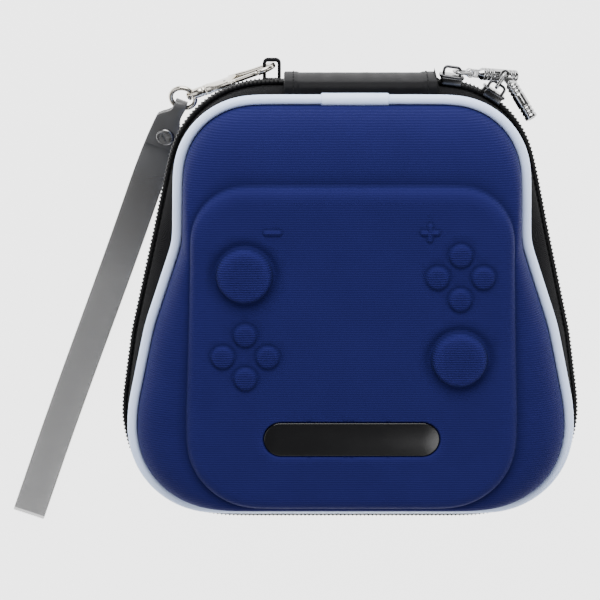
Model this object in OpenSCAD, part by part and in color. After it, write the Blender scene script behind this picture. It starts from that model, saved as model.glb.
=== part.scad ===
// Hard moulded carrying case for a game controller, lying on its back.
// X runs to the right, Y up to the hinge spine and Z out of the front.
// The origin is the middle of the flat back, where the case rests.

/* [Case] */
// Half width of the piping outline at the narrow top
neck_half = 64; // [60:0.5:68]
// Half width of the piping outline at the wide bottom
case_half = 82.5; // [80:0.5:88]
// Distance from the middle to the top of the piping
top_y = 79.8; // [78:0.2:82]
// Distance from the middle to the bottom of the piping
bottom_y = 78.5; // [77:0.5:82]
// Corner radius of the piping at the top
top_corner_r = 30; // [26:0.5:31]
// Corner radius of the piping at the bottom
bottom_corner_r = 32; // [26:0.5:34]
// Height of the rear seam above the flat back
rear_depth = 22.5; // [22:0.5:27]
// Height of the gusset between the two seams
gusset_h = 27; // [26:0.5:32]
// Rise of the front shell from its seam to the foot of the raised form
front_rise = 15; // [10:0.5:20]
// Thickness of the pressed shells
wall = 3; // [2:0.1:3.5]

/* [Raised form] */
// Half width of the raised form at its top
form_half_top = 57.5; // [54:0.5:58]
// Half width of the raised form at its bottom
form_half_bottom = 60.3; // [58:0.5:64]
// Top edge of the raised form
form_top_y = 49.6; // [44:0.2:52]
// Bottom edge of the raised form, below the middle
form_bottom_y = 71; // [66:0.5:72]
// Height of the raised form's step
form_step = 4.5; // [3:0.1:6]

/* [Sticks and buttons] */
// Diameter of the two raised sticks
stick_d = 20; // [16:0.5:22]
// Height of the sticks
stick_h = 3; // [2:0.1:4]
// Distance of the sticks from the middle line
stick_x = 38.5; // [36:0.5:42]
// Place of the left stick along Y
left_stick_y = 18; // [16:0.5:20]
// Place of the right stick along Y
right_stick_y = -13; // [-15:0.5:-11]
// Diameter of a round button
button_d = 8.4; // [6:0.1:9]
// Height of a round button
button_h = 1; // [0.6:0.1:1.6]
// Distance of a button from the middle of its group
button_step = 8.1; // [7:0.1:9]
// Distance of the two button groups from the middle line
group_x = 38.4; // [36:0.2:40]
// Place of the left group of buttons along Y
left_group_y = -12.4; // [-14:0.2:-11]
// Place of the right group of buttons along Y
right_group_y = 17; // [15:0.2:19]

/* [Badge] */
// Length of the oval badge
badge_l = 63.5; // [50:0.5:70]
// Width of the oval badge
badge_w = 12.5; // [10:0.5:14]
// Thickness of the badge
badge_t = 1; // [0.6:0.1:1.4]
// Place of the badge along Y
badge_y = -43.3; // [-46:0.1:-40]
// Play between the badge and its pocket
badge_play = 0.2; // [0.1:0.05:0.4]

/* [Piping and gusset] */
// Diameter of the piping
piping_d = 3.6; // [3:0.1:4]
// Length of the sleeve that joins the piping ends
sleeve_l = 24; // [16:1:30]
// Thickness of the sleeve's wall
sleeve_t = 0.4; // [0.3:0.05:0.6]
// Thickness of the zip tape
tape_t = 0.8; // [0.6:0.05:1]
// Width of the binding strip inside each seam
binding_w = 3; // [2:0.5:4]
// Play between sewn pieces
seam_play = 0.1; // [0.05:0.05:0.2]

/* [Zip] */
// Half width of the zip outline at the bottom
zip_half = 85.4; // [84:0.2:88]
// Distance from the middle to the zip outline at the top
zip_top_y = 83.5; // [82.5:0.1:85]
// Distance from the middle to the zip outline at the bottom
zip_bottom_y = 84; // [82:0.5:86]
// Corner radius of the zip at the top
zip_corner_r = 37; // [34:0.5:39]
// Pitch of the coil's teeth
coil_pitch = 1.5; // [1.2:0.1:2.4]
// Width of one half of the coil, across the seam
coil_h = 3; // [2.4:0.1:3.2]
// Thickness of the coil outside its tape
coil_t = 2.3; // [1.8:0.1:2.5]

/* [Hinge spine] */
// Left end of the spine along X
spine_left = -24.5; // [-28:0.5:-20]
// Gap along X between the spine's right end and the start of the zip's round corner
spine_gap = 0.3; // [0.3:0.1:6]
// Thickness of the spine
spine_t = 1.2; // [1:0.1:1.6]
// Distance from the middle to the outside of the spine
spine_y = 85; // [84:0.1:85]

/* [Sliders and pulls] */
// Place of slider A round the corner, in degrees from X
slider_a_angle = 82; // [81:0.5:82.5]
// Place of slider B round the corner, in degrees from X
slider_b_angle = 57; // [54:0.5:58]
// Length of a slider along the zip
slider_l = 9; // [8:0.2:9.4]
// Thickness of a slider's two plates
slider_t = 1.2; // [1:0.1:1.4]
// Running play between a slider and the zip
slider_play = 0.4; // [0.35:0.05:0.5]
// Diameter of the wire that a link turns on
link_wire_d = 1.2; // [1:0.1:1.3]
// Distance between the two wires of a link
link_l = 5.8; // [5.4:0.1:6.4]
// Diameter of a pull's tube
pull_d = 4.6; // [4:0.1:4.8]
// Length of a pull's tube
pull_l = 16; // [12:0.5:18]
// Thickness of the tongue on a pull
tongue_t = 2; // [1.6:0.1:2.2]

/* [Strap tab and clasp] */
// Width of the tab's ribbon
tab_w = 3.4; // [2.8:0.2:3.6]
// Thickness of the tab's ribbon
tab_t = 1.3; // [1:0.1:1.4]
// Height of the middle of the tab
tab_z = 29.2; // [28.6:0.1:29.4]
// Length of the clasp from its collar end to the middle of its end wire
clasp_l = 28; // [27.5:0.1:28.5]
// Outer radius of the clasp's round end
clasp_end_r = 4.9; // [4.7:0.1:5.1]
// Thickness of the clasp's bow
bow_t = 2; // [1.8:0.1:2.1]
// Thickness of the clasp's body
clasp_t = 3.2; // [2.8:0.1:3.4]
// Thickness of the gate between the clasp's cheeks
gate_t = 1.6; // [1.4:0.1:1.8]
// Diameter of the gate's pin
gate_pin_d = 1; // [0.8:0.05:1.1]
// Middle radius of the swivel ring
ring_r = 4.6; // [4.6:0.1:5]
// Diameter of the swivel ring's wire
ring_wire_d = 1.8; // [1.6:0.1:1.8]

/* [Wrist strap] */
// Width of the strap
strap_w = 12.5; // [10:0.5:13]
// Width of the strap where it goes through the ring
strap_neck_w = 4.6; // [3.6:0.1:4.6]
// Thickness of the strap
strap_t = 1.1; // [0.8:0.1:1.1]
// Length of the folded strap from the ring to its far end
strap_l = 173; // [150:1:180]
// Play between two layers of the strap
layer_play = 0.2; // [0.15:0.05:0.3]
// Diameter of the strap screw's head
screw_head_d = 7; // [5.5:0.1:7.4]
// Diameter of the strap screw's post
screw_post_d = 3.6; // [3:0.1:4]

/* [Hidden] */
$fn = 48;
front_seam = rear_depth + gusset_h;
mid_z = rear_depth + gusset_h / 2;
piping_r = piping_d / 2;
// Outer face of the shells, measured from the middle of the piping
shell_n = -(piping_r + seam_play);
// Zip tape and shell edges stand off from the seam by the piping's radius
edge_z = front_seam - piping_r;
form_z = front_seam + front_rise + form_step;
badge_floor = form_z - badge_t - 0.1;
coil_gap = 0.05;
// Inner face of the coil and the two faces of the tape behind it
tape_out = -(coil_t + seam_play);
tape_in = tape_out - tape_t;
spine_play = 0.2;
slider_h = coil_h + slider_play + 1;

// Plan outlines. Each is a list of corners [x, y, radius] down the right side,
// and all share their counts of points, so that two outlines blend point by point.
corner_steps = [10, 2, 2, 2, 8];

function unit(v) = v / norm(v);
function mirrored(p) = [-p[0], p[1]];
function reversed(v) = [for (i = [len(v) - 1:-1:0]) v[i]];
function turned(v, a) = [v[0] * cos(a) - v[1] * sin(a), v[0] * sin(a) + v[1] * cos(a)];

// Round the corner at v, between the points a and b, by an arc of radius r
function corner_arc(a, v, b, r, steps) =
    let (u = unit(a - v), w = unit(b - v))
    let (half = acos(max(-1, min(1, u * w))) / 2)
    let (middle = v + unit(u + w) * r / sin(half))
    let (start = v + u * r / tan(half) - middle)
    let (side = u[0] * w[1] - u[1] * w[0] > 0 ? -1 : 1)
    [for (i = [0:steps]) middle + turned(start, side * (180 - 2 * half) * i / steps)];

function right_side(corners) =
    let (last = len(corners) - 1)
    let (top = [0, corners[0][1]], bottom = [0, corners[last][1]])
    let (at = concat([top], [for (c = corners) [c[0], c[1]]], [bottom]))
    [for (i = [0:last]) each corner_arc(at[i], at[i + 1], at[i + 2], corners[i][2], corner_steps[i])];

function outline(corners) =
    let (right = right_side(corners))
    concat(right, [for (p = reversed(right)) mirrored(p)]);

// Outward directions of a clockwise outline, or of an open run along one
function outward(t) = [-t[1], t[0]];
function normals(pts, closed) =
    let (n = len(pts))
    [for (i = [0:n - 1])
        let (a = closed ? pts[(i + n - 1) % n] : pts[max(i - 1, 0)])
        let (b = closed ? pts[(i + 1) % n] : pts[min(i + 1, n - 1)])
        unit(outward(b - a))];
function moved_out(pts, d, closed = true) =
    let (n = normals(pts, closed))
    [for (i = [0:len(pts) - 1]) pts[i] + n[i] * d];
function mixed(a, b, w) = [for (i = [0:len(a) - 1]) a[i] * (1 - w) + b[i] * w];
function raised(pts, z) = [for (p = pts) [p[0], p[1], z]];

piping_corners = [[neck_half, top_y, top_corner_r], [neck_half + 1, 26, 25],
    [(neck_half + case_half) / 2 + 2.2, -5, 90], [case_half, -38, 60],
    [case_half, -bottom_y, bottom_corner_r]];
zip_corners = [[60.7, zip_top_y, zip_corner_r], [zip_half - 12.8, 28, 60],
    [zip_half - 3.9, -11, 60], [zip_half, -38, 60], [zip_half, -zip_bottom_y, 40]];
form_corners = [[form_half_top, form_top_y, 20], [form_half_top + 0.4, 20, 60],
    [form_half_bottom - 1.4, -10, 60], [form_half_bottom - 0.4, -33, 40],
    [form_half_bottom, -form_bottom_y, 26]];
rest_corners = [[form_half_top - 4, form_top_y + 8, 24], [form_half_top - 3, 20, 60],
    [form_half_bottom - 2, -10, 60], [form_half_bottom, -33, 60],
    [form_half_bottom, -form_bottom_y + 6, 26]];

piping_line = moved_out(outline(piping_corners), -piping_r);
zip_line = outline(zip_corners);
form_line = outline(form_corners);
rest_line = outline(rest_corners);

// Middle and true radius of the zip's round corner, which the sliders run on
zip_tangent_y = right_side(zip_corners)[0][1];
zip_middle = [right_side(zip_corners)[0][0], zip_tangent_y - zip_corner_r];

// The open run round the case from the spine's right end to its left end
spine_right = zip_middle[0] - spine_gap;
function open_run(pts) =
    concat([[spine_right + seam_play, pts[0][1]]], pts, [[spine_left - seam_play, pts[0][1]]]);
zip_run = open_run(zip_line);
piping_run = open_run(piping_line);

// A skin through a row of loops with equal counts of points
module skin(loops, closed = false) {
    n = len(loops);
    m = len(loops[0]);
    last = closed ? n - 1 : n - 2;
    sides = [for (i = [0:last], j = [0:m - 1])
        let (a = i * m + j, b = i * m + (j + 1) % m)
        let (c = ((i + 1) % n) * m + (j + 1) % m, d = ((i + 1) % n) * m + j)
        each [[a, b, c], [a, c, d]]];
    ends = closed ? [] : [[for (j = [m - 1:-1:0]) j], [for (j = [0:m - 1]) (n - 1) * m + j]];
    polyhedron([for (loop = loops) each loop], concat(sides, ends), convexity = 10);
}

// Shells
dome_steps = [0, 0.02, 0.06, 0.13, 0.24, 0.4, 0.62, 1];
function dome(w, p) = pow(1 - pow(1 - w, p), 1 / p);
// Loops of one face of a shell, from the seam up to the foot of the flat top
function dome_loops(edge, top, z, rise, p) =
    [for (w = dome_steps) raised(mixed(edge, top, w), z + rise * dome(w, p))];
function form_loops(line, z, step) = [
    raised(moved_out(line, -0.25 * step), z + 0.72 * step),
    raised(moved_out(line, -0.6 * step), z + 0.95 * step),
    raised(moved_out(line, -1.3 * step), z + step)];

module front_shell_blank() {
    edge_out = moved_out(piping_line, shell_n);
    edge_in = moved_out(piping_line, shell_n - wall);
    foot_in = moved_out(form_line, -wall);
    outer = concat([raised(edge_out, edge_z)],
        dome_loops(edge_out, form_line, front_seam, front_rise, 2.2),
        form_loops(form_line, front_seam + front_rise, form_step));
    inner = concat([raised(edge_in, edge_z)],
        dome_loops(edge_in, foot_in, front_seam, front_rise - wall, 2.2),
        form_loops(foot_in, front_seam + front_rise - wall, form_step));
    skin(concat(reversed(inner), outer));
}

// A round boss with a rolled edge, seated on the raised form
module boss(d, h) {
    r = d / 2;
    edge = h * 0.6;
    rotate_extrude()
        polygon(concat([[0, -0.5], [r, -0.5], [r, h - edge]],
            [for (a = [15:15:90]) [r - edge + edge * cos(a), h - edge + edge * sin(a)]],
            [[r * 0.4, h + 0.04 * d / 4], [0, h + 0.04 * d / 3]]));
}

module plan_bar(l, w, h) {
    linear_extrude(h) {
        square([l - w, w], center = true);
        for (s = [-1, 1]) translate([s * (l - w) / 2, 0]) circle(d = w);
    }
}

module buttons() {
    for (at = [[-group_x, left_group_y], [group_x, right_group_y]])
        for (a = [0:90:270])
            translate([at[0] + button_step * cos(a), at[1] + button_step * sin(a), form_z])
                boss(button_d, button_h);
    for (at = [[-stick_x, left_stick_y], [stick_x, right_stick_y]])
        translate([at[0], at[1], form_z]) boss(stick_d, stick_h);
}

module plus_and_minus() {
    sign_y = right_group_y + 16.5;
    translate([group_x - 11, sign_y, form_z - 0.5]) {
        plan_bar(6, 1.6, 1.1);
        rotate(90) plan_bar(6, 1.6, 1.1);
    }
    translate([-group_x + 10, sign_y, form_z - 0.5]) plan_bar(5.8, 1.6, 1.1);
}

module front_shell() {
    color("royalblue")
        difference() {
            union() {
                front_shell_blank();
                buttons();
                plus_and_minus();
            }
            translate([0, badge_y, badge_floor - seam_play])
                plan_bar(badge_l + 2 * badge_play, badge_w + 2 * badge_play, 5);
        }
}

module rear_shell() {
    edge_out = moved_out(piping_line, shell_n);
    edge_in = moved_out(piping_line, shell_n - wall);
    rest_in = moved_out(rest_line, -wall);
    outer = concat([raised(edge_out, -rear_depth - piping_r)],
        dome_loops(edge_out, rest_line, -rear_depth, rear_depth, 2.5));
    inner = concat([raised(edge_in, -rear_depth - piping_r)],
        dome_loops(edge_in, rest_in, -rear_depth, rear_depth - wall, 2.5));
    color("royalblue")
        mirror([0, 0, 1])
            skin(concat(reversed(inner), outer));
}

module front_badge() {
    color("black")
        translate([0, badge_y, badge_floor]) plan_bar(badge_l, badge_w, badge_t);
}

// Seam pieces. Each is made for the front seam, and the rear one mirrors it.
module as_rear() {
    translate([0, 0, 2 * mid_z]) mirror([0, 0, 1]) children();
}

piping_sides = 8;
module front_piping() {
    // The two ends of the piping meet inside the sleeve, 1 mm apart
    end_right = [sleeve_x + 0.5, piping_line[0][1]];
    end_left = [sleeve_x - 0.5, piping_line[0][1]];
    line = concat([end_right], piping_line, [end_left]);
    out = normals(line, false);
    color("lavender")
        skin([for (i = [0:len(line) - 1])
            [for (j = [0:piping_sides - 1])
                let (a = (j + 0.5) * 360 / piping_sides)
                let (p = line[i] + out[i] * piping_r * cos(a))
                [p[0], p[1], front_seam + piping_r * sin(a)]]]);
}

sleeve_x = 0.9;
module front_piping_sleeve() {
    bore_r = piping_r + seam_play;
    color("white")
        translate([sleeve_x - sleeve_l / 2, piping_line[0][1], front_seam])
            rotate([90, 0, 90])
                difference() {
                    cylinder(r = bore_r + sleeve_t, h = sleeve_l);
                    translate([0, 0, -1]) cylinder(r = bore_r, h = sleeve_l + 2);
                    translate([-5 - 0.5 * piping_r, -5, -1]) cube([5, 10, sleeve_l + 2]);
                    translate([-5, -5 - 0.6 * piping_r, -1]) cube([10, 5, sleeve_l + 2]);
                }
}

module front_zip_tape() {
    seam_z = edge_z - seam_play;
    inner_n = shell_n - wall + seam_play;
    pin = moved_out(piping_run, inner_n, false);
    pout = moved_out(piping_run, 0.6, false);
    pmid = moved_out(piping_run, -0.6, false);
    zout = moved_out(zip_run, tape_out, false);
    zin = moved_out(zip_run, tape_in, false);
    low = mid_z + coil_gap + 0.1;
    color("black")
        difference() {
            skin([for (i = [0:len(zip_run) - 1])
                [at_z(pin[i], seam_z), at_z(pout[i], seam_z), at_z(zout[i], mid_z + 2.5),
                    at_z(zout[i], low), at_z(zin[i], low), at_z(zin[i], mid_z + 2.5),
                    at_z(pmid[i], seam_z - tape_t), at_z(pin[i], seam_z - tape_t)]]);
            zip_mouth();
        }
}
function at_z(p, z) = [p[0], p[1], z];

// The coil is a comb whose teeth follow the zip outline at an even pitch
function lengths(pts) =
    [for (i = 0, s = 0; i < len(pts); s = s + (i < len(pts) - 1 ? norm(pts[i + 1] - pts[i]) : 0),
        i = i + 1) s];
function on_run(pts, dirs, sums, s, out) =
    let (i = min(len([for (c = sums) if (c <= s) 1]), len(pts) - 1) - 1)
    let (w = (s - sums[i]) / (sums[i + 1] - sums[i]))
    pts[i] * (1 - w) + pts[i + 1] * w + (dirs[i] * (1 - w) + dirs[i + 1] * w) * out;

module front_zip_coil() {
    dirs = normals(zip_run, false);
    sums = lengths(zip_run);
    total = sums[len(sums) - 1];
    teeth = floor((total - 1) / coil_pitch);
    start = (total - teeth * coil_pitch) / 2;
    comb = [for (i = [0:teeth - 1])
        let (s = start + i * coil_pitch)
        each [for (step = [[0.12, -0.55], [0.3, 0], [0.7, 0], [0.88, -0.55]])
            on_run(zip_run, dirs, sums, s + step[0] * coil_pitch, step[1])]];
    back = reversed(moved_out(zip_run, -coil_t, false));
    color("black")
        difference() {
            translate([0, 0, mid_z + coil_gap])
                linear_extrude(coil_h - coil_gap)
                    polygon(concat(comb, back));
            zip_mouth();
        }
}

// Between the sliders the two halves of the zip stand apart
mouth_h = 1.1;
mouth_in = 6;
mouth_out = 2;
wedge_from = 2.6;
wedge_to = 4.2;
function degrees_along(l) = l / zip_corner_r * 180 / PI;
module zip_mouth() {
    from = slider_b_angle + degrees_along(wedge_from - 0.5);
    to = slider_a_angle - degrees_along(wedge_from - 0.5);
    translate([zip_middle[0], zip_middle[1], mid_z - mouth_h])
        rotate(from)
            rotate_extrude(angle = to - from)
                translate([zip_corner_r - mouth_in, 0]) square([mouth_in + mouth_out, 2 * mouth_h]);
}

module front_binding() {
    from = moved_out(piping_line, shell_n - wall - seam_play);
    to = moved_out(piping_line, shell_n - wall - seam_play - 1.2);
    low = edge_z - 1;
    color("dimgray")
        skin([for (i = [0:len(from) - 1])
            [at_z(to[i], low + 0.5), at_z(to[i], low + binding_w - 0.5),
                at_z(from[i], low + binding_w), at_z(from[i], low)]], closed = true);
}

module rear_piping() { as_rear() front_piping(); }
module rear_piping_sleeve() { as_rear() front_piping_sleeve(); }
module rear_zip_tape() { as_rear() front_zip_tape(); }
module rear_zip_coil() { as_rear() front_zip_coil(); }
module rear_binding() { as_rear() front_binding(); }

module hinge_spine() {
    inner_y = piping_line[0][1] + shell_n - wall + seam_play;
    half = edge_z - mid_z - spine_play;
    bend = 2.2;
    outer = spine_face(inner_y, half, bend, 0);
    inner = spine_face(inner_y, half, bend, spine_t);
    color("black")
        translate([spine_left, 0, mid_z])
            rotate([90, 0, 90])
                linear_extrude(spine_right - spine_left)
                    polygon(concat(outer, reversed(flipped(outer)), flipped(inner), reversed(inner)));
}
// The upper half of one face of the spine's section, from its sewn edge to its back
function spine_face(inner_y, half, bend, inset) =
    concat([[inner_y, half - inset]], [for (a = [90:-15:0])
        [spine_y - bend + (bend - inset) * cos(a), half - bend + (bend - inset) * sin(a)]]);
function flipped(v) = [for (p = v) [p[0], -p[1]]];

// Sliders. In their own frame x points out of the zip, y runs along it and z across it.
module at_zip(angle) {
    translate([zip_middle[0], zip_middle[1], mid_z])
        rotate(angle) translate([zip_corner_r, 0, 0]) children();
}

bail_w = 1.6;
bail_t = 1;
bail_l = 7;
bail_rise = slider_play + slider_t + 2.2;
module slider_plate(from, half_h) {
    r = 2;
    translate([from, 0, 0])
        rotate([0, 90, 0])
            linear_extrude(slider_t) {
                square([2 * half_h, slider_l - 2 * r], center = true);
                square([2 * half_h - 2 * r, slider_l], center = true);
                for (i = [-1, 1], j = [-1, 1])
                    translate([i * (half_h - r), j * (slider_l / 2 - r)]) circle(r);
            }
}

// front is 1 for a slider whose wedge looks the way the angle grows, or -1
module slider(front) {
    inner_from = tape_in - slider_play - slider_t - 0.2;
    slider_plate(slider_play, slider_h);
    slider_plate(inner_from, slider_h - 0.9);
    for (s = [-1, 1])
        translate([tape_out + slider_play, -slider_l / 2 + 0.6, s * (slider_h - 0.5) - 0.5])
            cube([slider_play - tape_out, slider_l - 1.2, 1]);
    translate([inner_from + slider_t / 2, front > 0 ? wedge_from : -wedge_to, -0.9])
        cube([slider_play - inner_from, wedge_to - wedge_from, 1.8]);
    bail();
}

module bail() {
    half = bail_l / 2;
    r = 1.4;
    translate([0, 0, -bail_w / 2])
        linear_extrude(bail_w)
            difference() {
                union() {
                    translate([slider_play + 0.6, -half]) square([bail_rise + bail_t - slider_play - 0.6 - r,
                        bail_l]);
                    translate([slider_play + 0.6, -half + r])
                        square([bail_rise + bail_t - slider_play - 0.6, bail_l - 2 * r]);
                    for (s = [-1, 1])
                        translate([bail_rise + bail_t - r, s * (half - r)]) circle(r);
                }
                translate([slider_play + slider_t, -half + bail_t])
                    square([bail_rise - slider_play - slider_t, bail_l - 2 * bail_t]);
            }
}

module slider_a() { color("silver") at_zip(slider_a_angle) slider(-1); }
module slider_b() { color("silver") at_zip(slider_b_angle) slider(1); }

// The link's inner wire lies in the bail. Each pull has a frame of its own whose
// x runs along the pull and whose z is the axis of the link's two wires.
wire_n = slider_play + slider_t + 0.5 + link_wire_d / 2;
wire_a_along = -(bail_l / 2 - bail_t - link_wire_d / 2 - 0.7);
pull_a_turn = -8;
pull_a_drop = 21;
link_a_turn = 0;
pull_b_turn = -58;
pull_b_drop = -17;
link_b_turn = 116;
link_half = tongue_t / 2 + 0.7;
link_side_t = 0.8;
eye_r = 1.7;

function zip_place(angle, n, along) =
    zip_middle + turned([zip_corner_r + n, along], angle);
wire_a = at_z(zip_place(slider_a_angle, wire_n, wire_a_along), mid_z);
wire_b = at_z(zip_place(slider_b_angle, wire_n, 0), mid_z);

module pull_frame(at, turn, drop) {
    translate(at) rotate([0, drop, turn]) children();
}

module link() {
    for (x = [0, link_l])
        translate([x, 0, -link_half - link_side_t / 2])
            cylinder(d = link_wire_d, h = 2 * link_half + link_side_t);
    for (s = [-1, 1])
        translate([0, 0, s * (link_half + link_side_t / 2) - link_side_t / 2])
            linear_extrude(link_side_t) {
                translate([0, -link_wire_d / 2 - 0.1]) square([link_l, link_wire_d + 0.2]);
                for (x = [0, link_l]) translate([x, 0]) circle(link_wire_d / 2 + 0.1);
            }
}

// A turned tube with grooves at both ends and a flat tongue with an eye
module pull() {
    neck = eye_r + 1.1;
    r = pull_d / 2;
    groove = 0.3;
    difference() {
        union() {
            translate([neck, 0, 0])
                rotate([0, 90, 0])
                    rotate_extrude()
                        polygon(concat([[0, 0], [tongue_t / 2 + 0.2, 0], [r, 1.8]],
                            [for (base = [2.2, pull_l - 5.2], i = [0:2])
                                let (y = base + i * 1.5)
                                each [[r, y], [r - groove, y + 0.15], [r - groove, y + 0.55], [r, y + 0.7]]],
                            [[r, pull_l - 0.5], [r - 0.5, pull_l], [0, pull_l]]));
            translate([0, 0, -tongue_t / 2])
                linear_extrude(tongue_t) {
                    circle(eye_r);
                    translate([0, -eye_r]) square([neck + 0.5, 2 * eye_r]);
                }
        }
        translate([0, 0, -tongue_t]) cylinder(d = link_wire_d + 0.6, h = 2 * tongue_t);
    }
}

module link_a() { color("silver") pull_frame(wire_a, pull_a_turn, pull_a_drop) rotate(link_a_turn) link(); }
module link_b() { color("silver") pull_frame(wire_b, pull_b_turn, pull_b_drop) rotate(link_b_turn) link(); }
module pull_a() {
    color("gainsboro")
        pull_frame(wire_a, pull_a_turn, pull_a_drop)
            translate([link_l * cos(link_a_turn), link_l * sin(link_a_turn), 0]) pull();
}
module pull_b() {
    color("gainsboro")
        pull_frame(wire_b, pull_b_turn, pull_b_drop)
            translate([link_l * cos(link_b_turn), link_l * sin(link_b_turn), 0]) pull();
}

// The tab is a ribbon loop sewn on the rear half of the gusset, beside the spine
tab_right = spine_left - 1.1;
tab_l = 6.7;
tab_root = zip_top_y + tape_out + 0.2 - 0.4;
tab_top = 89.6;
module strap_tab() {
    color("black")
        translate([0, 0, tab_z - tab_w / 2])
            linear_extrude(tab_w)
                difference() {
                    tab_shape(tab_t / 2 + 0.9, 0);
                    tab_shape(0.9, tab_t);
                }
}
module tab_shape(r, inset) {
    left = tab_right - tab_l + inset;
    right = tab_right - inset;
    low = tab_root + inset;
    top = tab_top - inset;
    translate([left + r, low]) square([right - left - 2 * r, top - low]);
    translate([left, low + r]) square([right - left, top - low - 2 * r]);
    for (x = [left + r, right - r], y = [low + r, top - r]) translate([x, y]) circle(r);
}

// The clasp's frame has its origin in the middle of the ring and x towards its hook
ring_at = [-62, 72.6, 17];
hook_at = [tab_right - tab_l + tab_t + 2.2, tab_top - 2.8, tab_z + 1];
clasp_dir = hook_at - ring_at;
clasp_turn = atan2(clasp_dir[1], clasp_dir[0]);
clasp_rise = asin(clasp_dir[2] / norm(clasp_dir));
body_x = norm(clasp_dir) - clasp_l;
module clasp_frame() { translate(ring_at) rotate([0, -clasp_rise, clasp_turn]) children(); }

bow_r = clasp_end_r - bow_t;
end_x = clasp_l - clasp_end_r + bow_t / 2;
pivot = [9.2, 2.7];
gate_in = clasp_end_r - bow_t;
gate_tip = end_x - 0.8;
// The clasp lies on its side: its outline is drawn in x and z, and its thickness is y
module upright(t) { rotate([90, 0, 0]) linear_extrude(t, center = true) children(); }

module clasp_outline() {
    polygon([[0, -2.2], [3, -2.6], [8, -4.3], [12, -clasp_end_r], [end_x, -clasp_end_r],
        [end_x, clasp_end_r], [12, clasp_end_r], [8, 4.3], [3, 2.6], [0, 2.2]]);
    translate([end_x, 0]) circle(clasp_end_r);
}
module clasp_opening() {
    translate([14.5, -bow_r]) square([end_x - 14.5, 2 * bow_r]);
    for (x = [14.5, end_x]) translate([x, 0]) circle(bow_r);
}

module clasp_bow() {
    difference() {
        clasp_outline();
        clasp_opening();
        translate([14.5, 0]) square([gate_tip + 0.4 - 14.5, 10]);
    }
}

module clasp_hook() {
    stud_r = 1;
    color("silver")
        clasp_frame() {
            translate([body_x, 0, 0])
                difference() {
                    union() {
                        upright(clasp_t) intersection() {
                            clasp_bow();
                            square([26, 20], center = true);
                        }
                        upright(bow_t) difference() {
                            clasp_bow();
                            translate([-1, -10]) square([13, 20]);
                        }
                    }
                    // Slot for the gate, and the bore of its pin
                    upright(gate_t + 0.4)
                        translate([pivot[0] - 3, -0.6]) square([12, 8]);
                    translate([pivot[0], 0, pivot[1]])
                        rotate([90, 0, 0]) cylinder(d = gate_pin_d + 0.04, h = 10, center = true);
                }
            // Stud with its head inside the ring
            translate([ring_r - ring_wire_d / 2 - 1.5, 0, 0])
                rotate([0, 90, 0]) {
                    cylinder(r = 1.7, h = 1);
                    cylinder(r = stud_r, h = body_x - ring_r + ring_wire_d / 2 + 2);
                }
        }
}

module clasp_gate() {
    color("silver")
        clasp_frame()
            translate([body_x, 0, 0])
                difference() {
                    upright(gate_t) {
                        translate(pivot) circle(2);
                        translate([pivot[0], gate_in]) square([gate_tip - pivot[0], bow_t - 0.1]);
                        translate([pivot[0], clasp_end_r - 0.2]) square([4.2, 1.4]);
                        translate([pivot[0] + 4.2, clasp_end_r - 0.2]) circle(1.2);
                    }
                    translate([pivot[0], 0, pivot[1]])
                        rotate([90, 0, 0]) cylinder(d = gate_pin_d + 0.1, h = 10, center = true);
                }
}

module clasp_gate_pin() {
    color("gray")
        clasp_frame()
            translate([body_x + pivot[0], 0, pivot[1]])
                rotate([90, 0, 0]) cylinder(d = gate_pin_d, h = clasp_t, center = true);
}

// A short coil under the gate's tail, as a plain tube
module clasp_spring() {
    color("gray")
        clasp_frame()
            translate([body_x + pivot[0] + 0.2, 0, -0.55])
                difference() {
                    cylinder(r = 0.6, h = 1.1);
                    translate([0, 0, -1]) cylinder(r = 0.35, h = 4);
                }
}

// The ring is rolled on the clasp until the strap's end lies level on its wire
module swivel_ring() {
    boss_from = ring_r + 0.2;
    color("silver")
        clasp_frame()
            rotate([ring_roll, 0, 0])
                difference() {
                    union() {
                        rotate_extrude() translate([ring_r, 0]) circle(ring_wire_d / 2, $fn = 24);
                        translate([ring_r - 0.5, 0, 0])
                            rotate([0, 90, 0]) cylinder(r = 2, h = body_x - ring_r + 0.2);
                    }
                    translate([boss_from - 4, 0, 0])
                        rotate([0, 90, 0]) cylinder(r = 1.1, h = body_x);
                }
}

// The strap is one band: an upper and a lower leg from the far fold, with the
// lower leg's end wrapped over the ring's wire and screwed on top of the stack.
strap_turn = 19.5;
strap_land = 48;
strap_bow = 2.4;
fold_r = 1.9;
screw_along = 12.5;
strap_dir = [-sin(strap_turn), -cos(strap_turn)];
strap_side = [cos(strap_turn), -sin(strap_turn)];
clasp_unit = unit(clasp_dir);
clasp_side = [-sin(clasp_turn), cos(clasp_turn), 0];
ring_up = unit(cross(clasp_unit, at_z(strap_side, 0)));
ring_normal = ring_up[2] > 0 ? ring_up : -ring_up;
ring_roll = atan2(-ring_normal * clasp_side, ring_normal * cross(clasp_unit, clasp_side));
ring_out = cross(at_z(strap_side, 0), ring_normal);
wire_at = ring_at + ring_out * ring_r;
start_slope = -ring_out[2] / norm([ring_out[0], ring_out[1]]);
layer = strap_t + layer_play;
floor_z = layer - layer_play / 2;
drop_z = wire_at[2] - floor_z;
ease = 2 - start_slope * strap_land / drop_z;

// Height and slope of the middle of the strap, by distance from the ring's wire
function base_z(s) =
    let (t = min(1, s / strap_land))
    s < 0 ? wire_at[2] - start_slope * s : floor_z + drop_z * pow(1 - t, 2) * (1 + ease * t);
function base_slope(s) =
    let (t = min(1, max(0, s / strap_land)))
    drop_z / strap_land * (ease * pow(1 - t, 2) - 2 * (1 - t) * (1 + ease * t));
function on_base(s, o) = [s, base_z(s)] + o * unit([-base_slope(s), 1]);
function smooth(t) = let (c = max(0, min(1, t))) c * c * (3 - 2 * c);
function between(a, b, t) = a + (b - a) * smooth(t);

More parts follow.
